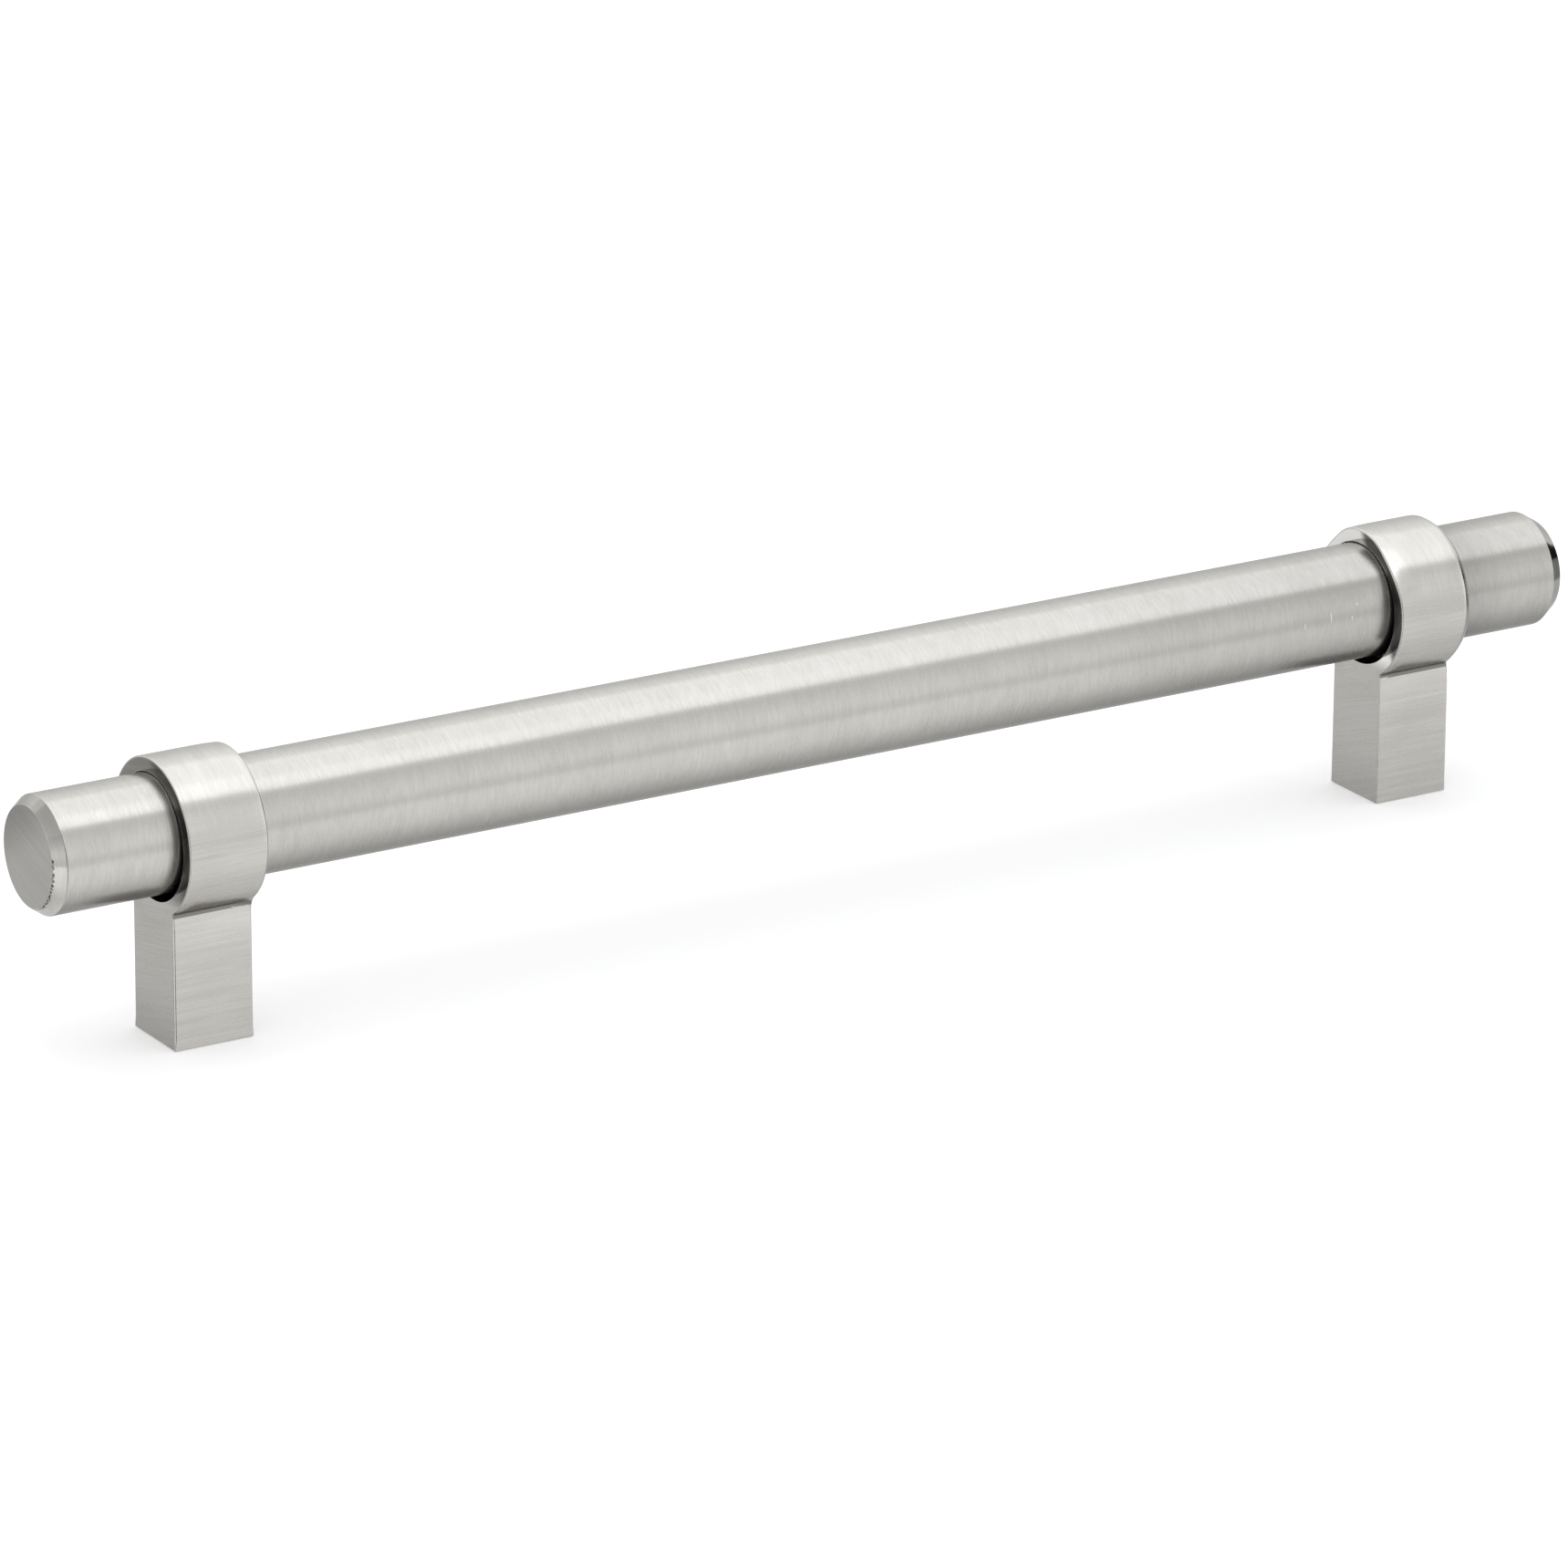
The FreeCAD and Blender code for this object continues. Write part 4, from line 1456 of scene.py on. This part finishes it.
@dataclass
class GrubScrews:
    """The two hidden grub screws, each with a hexagon socket below and a cone point above."""

    half_spacing: float = 80.0
    low: float = 12.75
    high: float = 17.75
    radius: float = 1.23
    crest: float = 0.2
    pitch: float = 0.5
    chamfer: float = 0.25
    segments: int = 48
    socket_sides: int = 6
    socket_width: float = 1.5
    socket_depth: float = 1.6
    socket_cone: float = 0.25
    socket_start: float = 1.0
    steel: BrushedMetal = BrushedMetal(
        "Blackened steel, grub screws",
        Grain.ROUND_UPRIGHT,
        dark=(0.16, 0.16, 0.165),
        light=(0.26, 0.26, 0.265),
        roughness=0.36,
        anisotropy=0.3,
    )

    def build(self) -> bpy.types.Object:
        """Returns both screws as one piece, smoothed and marked."""
        screws = [self.screw(side * self.half_spacing) for side in (-1.0, 1.0)]
        both = bmesh.new()
        for screw in screws:
            both.from_mesh(screw.data)
            discard(screw)
        piece = as_piece("grub_screws_visual", both)
        smooth_over(piece)
        write_mark(piece.data, Mark.ACROSS, [Vector(UPWARDS)] * len(piece.data.vertices))
        lay_finishes(piece.data, (self.steel,), lambda centre, normal: 0)
        return piece

    def screw(self, centre: float) -> bpy.types.Object:
        """Returns one screw: threaded, with a cone point above and a socket sunk from below."""
        neck = self.low + self.chamfer
        shoulder = self.high - self.radius
        points = [ProfilePoint(0.0, self.low), ProfilePoint(self.radius - self.chamfer, self.low)]
        points.append(ProfilePoint(self.radius, neck, 0.0, self.pitch))
        points += Post.thread(self.radius, neck, shoulder, self.crest, self.pitch)
        points += [ProfilePoint(self.radius, shoulder, 0.0, self.pitch), ProfilePoint(0.0, self.high)]
        foot = (centre, 0.0, 0.0)
        piece = turn_piece(f"grub_{centre:.0f}", points, self.segments, Axis.UPRIGHT, foot, self.steel)
        cut_away(piece, [self.socket(foot)])
        return piece

    def socket(self, foot: Triple) -> bpy.types.Object:
        """Returns the tool for a hexagon socket with a drilled bottom."""
        reach = self.socket_width / 2.0 / unit(180.0 / self.socket_sides)[0]
        bottom, top = self.low - self.socket_start, self.low + self.socket_depth
        corners = [(0.0, bottom), (reach, bottom), (reach, top), (0.0, top + self.socket_cone)]
        points = [ProfilePoint(out, along) for out, along in corners]
        return turn_piece("socket", points, self.socket_sides, Axis.UPRIGHT, foot, self.steel)

    def dress(self, piece: bpy.types.Object) -> None:
        """Puts the piece in the screws' place in the frame."""
        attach(piece, BODY)
        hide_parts("grub_screws")


# The stage


@dataclass(frozen=True)
class SkyCard:
    """A darker or lighter card in the sky, with its edges in degrees from straight ahead and up."""

    left: float
    right: float
    low: float
    high: float
    soft: float
    share: float

    def mask(self, canvas: Canvas, turn: Value, rise: Value) -> Value:
        """Returns 1 on the card and 0 away from it, given a direction's turn and rise in degrees."""
        within = [
            canvas.ramp(angle, start - self.soft, start) * canvas.ramp(angle, end + self.soft, end)
            for angle, start, end in ((turn, self.left, self.right), (rise, self.low, self.high))
        ]
        return within[0] * within[1]


@dataclass(frozen=True)
class Lamp:
    """A soft lamp that hangs level: its edges and height in metres, and its light as a share of white."""

    name: str
    left: float
    right: float
    front: float
    back: float
    height: float
    tone: float
    colour: Triple = (0.965, 1.0, 1.04)

    def hang(self) -> None:
        """Adds the lamp to the scene."""
        light = bpy.data.lights.new(self.name, "AREA")
        light.shape = "RECTANGLE"
        light.size = self.right - self.left
        light.size_y = self.back - self.front
        light.color = self.colour
        light.energy = self.tone * math.pi * light.size * light.size_y
        hung = bpy.data.objects.new(self.name, light)
        hung.location = ((self.left + self.right) / 2.0, (self.front + self.back) / 2.0, self.height)
        bpy.context.scene.collection.objects.link(hung)


@dataclass
class Studio:
    """A pale floor, a plain soft sky, broad soft lamps overhead and the camera."""

    floor_size: float = 6.0
    floor_drop: float = 0.1 * MM
    floor_colour: Triple = (0.86, 0.86, 0.86)
    floor_lift: float = 0.31
    floor_glow: float = 0.05
    floor_share: float = 0.25
    sky_light: float = 0.8
    brightest: float = 2.0
    sky_tones: tuple[Point, ...] = (
        (-180.0, 0.8), (-157.0, 0.76), (-140.0, 0.6), (-116.0, 0.46), (-101.0, 0.53), (-91.0, 0.63),
        (-81.0, 0.72), (-72.0, 0.82), (-65.0, 0.91), (-58.0, 1.0), (-50.0, 1.07), (-43.0, 1.11),
        (-37.0, 1.14), (-30.0, 1.16), (-24.0, 1.18), (-18.0, 1.17), (-15.5, 1.14), (-12.0, 0.88),
        (-8.0, 0.88), (-3.0, 0.95), (4.8, 1.03), (10.6, 1.06), (22.0, 1.02), (33.0, 0.91), (45.0, 0.83),
        (53.0, 0.8), (62.0, 0.9), (110.0, 0.88), (120.0, 0.9), (130.0, 1.2), (140.0, 1.18), (150.0, 1.06),
        (165.0, 0.92), (180.0, 0.8),
    )
    sky_cards: tuple[SkyCard, ...] = (
        SkyCard(82.0, 105.0, -15.0, 8.0, 3.0, 0.01),
        SkyCard(-36.0, -12.0, -62.0, 50.0, 5.0, 0.04),
        SkyCard(-64.0, -40.0, -8.0, 50.0, 5.0, 0.82),
        SkyCard(-160.0, -70.0, 42.0, 66.0, 8.0, 0.82),
        SkyCard(-16.0, 10.0, 30.0, 62.0, 7.0, 1.9),
        SkyCard(48.0, 68.0, -10.0, 30.0, 5.0, 1.4),
        SkyCard(-165.0, -112.0, -60.0, -34.0, 6.0, 0.4),
    )
    lamps: tuple[Lamp, ...] = (
        Lamp("overhead", -0.4, 1.2, -0.555, 0.72, 1.0, 0.6),
        Lamp("overhead_left", -0.4, 0.54, -0.57, -0.1, 0.99, 0.04),
        Lamp("overhead_far_left", -0.4, 0.4, -0.57, -0.1, 0.98, 0.27),
    )
    camera_place: Triple = (-0.54296, -0.87493, 0.37691)
    yaw: float = 31.6368
    pitch: float = 19.3913
    roll: float = -0.3552
    lens: float = 220.304
    sensor: float = 36.0
    sight: float = 100.0

    def build(self) -> None:
        """Sets the stage, the lights and the camera."""
        self.add_floor()
        self.add_sky()
        for lamp in self.lamps:
            lamp.hang()
        self.add_camera()
        bpy.context.scene.view_settings.view_transform = "Standard"

    @staticmethod
    def rays(canvas: Canvas) -> tuple[Value, Value]:
        """Returns 1 for the camera's own rays, and 1 for rays that come off or through gloss."""
        outputs = canvas.node("ShaderNodeLightPath").outputs
        seen, glossy, through = (
            Value(canvas, outputs[name]) for name in ("Is Camera Ray", "Is Glossy Ray", "Is Transmission Ray")
        )
        return seen, canvas.math("MAXIMUM", glossy, through)

    def add_floor(self) -> None:
        """Adds the floor. Gloss sees part of the sky through it, as over a lit table of milk glass."""
        half = self.floor_size / 2.0
        mesh = bpy.data.meshes.new("floor")
        corners = [(-half, -half), (half, -half), (half, half), (-half, half)]
        mesh.from_pydata([(x, y, -self.floor_drop) for x, y in corners], [], [(0, 1, 2, 3)])
        floor = as_object("floor", mesh)
        material = bpy.data.materials.new("Pale floor")
        canvas = Canvas.over(material)
        seen, gloss = self.rays(canvas)
        matt = canvas.value("ShaderNodeBsdfDiffuse", {"Color": rgba(self.floor_colour)})
        lift = canvas.total((seen, gloss), (self.floor_lift, self.floor_glow))
        glow = canvas.value("ShaderNodeEmission", {"Color": rgba(WHITE), "Strength": lift})
        both = canvas.value("ShaderNodeAddShader", {0: matt, 1: glow})
        clear = canvas.value("ShaderNodeBsdfTransparent")
        mixed = canvas.value("ShaderNodeMixShader", {0: gloss * (1.0 - self.floor_share), 1: both, 2: clear})
        canvas.node("ShaderNodeOutputMaterial", {"Surface": mixed})
        mesh.materials.append(material)

    def sky_curve(self, canvas: Canvas, share: Value) -> Value:
        """Returns the sky's tone for a share of the whole way round from under the floor."""
        curve = canvas.node("ShaderNodeFloatCurve", {"Value": share})
        line = curve.mapping.curves[0]
        for degrees, tone in self.sky_tones[1:-1]:
            line.points.new((degrees + 180.0) / 360.0, tone / self.brightest)
        for place in (0, -1):
            degrees, tone = self.sky_tones[place]
            line.points[place].location = ((degrees + 180.0) / 360.0, tone / self.brightest)
        for point in line.points:
            point.handle_type = "AUTO_CLAMPED"
        curve.mapping.update()
        return Value(canvas, curve.outputs[0]) * self.brightest

    def sky_tone(self, canvas: Canvas) -> Value:
        """Returns the sky's light by direction, as gloss sees it."""
        x, y, z = canvas.separate(canvas.value("ShaderNodeTexCoord", out="Generated"))
        ahead = y * -1.0
        angle = canvas.math("ARCTAN2", z, ahead)
        tone = self.sky_curve(canvas, angle / (2.0 * math.pi) + 0.5)
        turn = canvas.math("DEGREES", canvas.math("ARCTAN2", x, ahead))
        rise = canvas.math("DEGREES", canvas.math("ARCSINE", z))
        for card in self.sky_cards:
            tone = tone * canvas.mix(card.mask(canvas, turn, rise), 1.0, card.share)
        return tone

    def add_sky(self) -> None:
        """Lights the world evenly, shows it white, and lets gloss see the studio's soft tones."""
        world = bpy.data.worlds.new("Studio sky")
        bpy.context.scene.world = world
        canvas = Canvas.over(world)
        seen, gloss = self.rays(canvas)
        strength = canvas.mix(gloss, canvas.mix(seen, self.sky_light, 1.0), self.sky_tone(canvas))
        light = canvas.value("ShaderNodeBackground", {"Color": rgba(WHITE), "Strength": strength})
        canvas.node("ShaderNodeOutputWorld", {"Surface": light})

    def add_camera(self) -> None:
        """Stands the camera where the picture was taken from."""
        cos_yaw, sin_yaw = unit(self.yaw)
        cos_pitch, sin_pitch = unit(self.pitch)
        cos_roll, sin_roll = unit(self.roll)
        ahead = Vector((sin_yaw * cos_pitch, cos_yaw * cos_pitch, -sin_pitch))
        right = Vector((cos_yaw, -sin_yaw, 0.0))
        down = ahead.cross(right)
        rolled = right * cos_roll + down * sin_roll
        sunk = down * cos_roll - right * sin_roll
        data = bpy.data.cameras.new("camera")
        data.lens = self.lens
        data.sensor_width = self.sensor
        data.clip_end = self.sight
        camera = bpy.data.objects.new("camera", data)
        turned = Matrix((rolled, -sunk, -ahead)).transposed()
        camera.matrix_world = Matrix.Translation(self.camera_place) @ turned.to_4x4()
        bpy.context.scene.collection.objects.link(camera)
        bpy.context.scene.camera = camera


def main() -> None:
    """Builds and dresses the pieces, then sets the stage."""
    logging.basicConfig(level=logging.INFO, format="%(name)s: %(message)s")
    right_post = Post(
        "right_post",
        80.0,
        -1,
        column_edge=0.16,
        end_edge=0.75,
        end_bevel=0.65,
        end_power=1.1,
        crown_depth=0.54,
        crown_width=3.3,
        crown_rise=(0.18, 0.7),
        crown_fall=(0.76, 1.02),
    )
    left_post = Post("left_post", -80.0, 1, column_edge=0.34, middle_edge=0.4, root_opened=2.5)
    for assembly in (Bar(), left_post, right_post, GrubScrews()):
        piece = assembly.build()
        assembly.dress(piece)
        LOG.info("%s: %d faces", piece.name, len(piece.data.polygons))
    Studio().build()


if __name__ == "__main__":
    main()
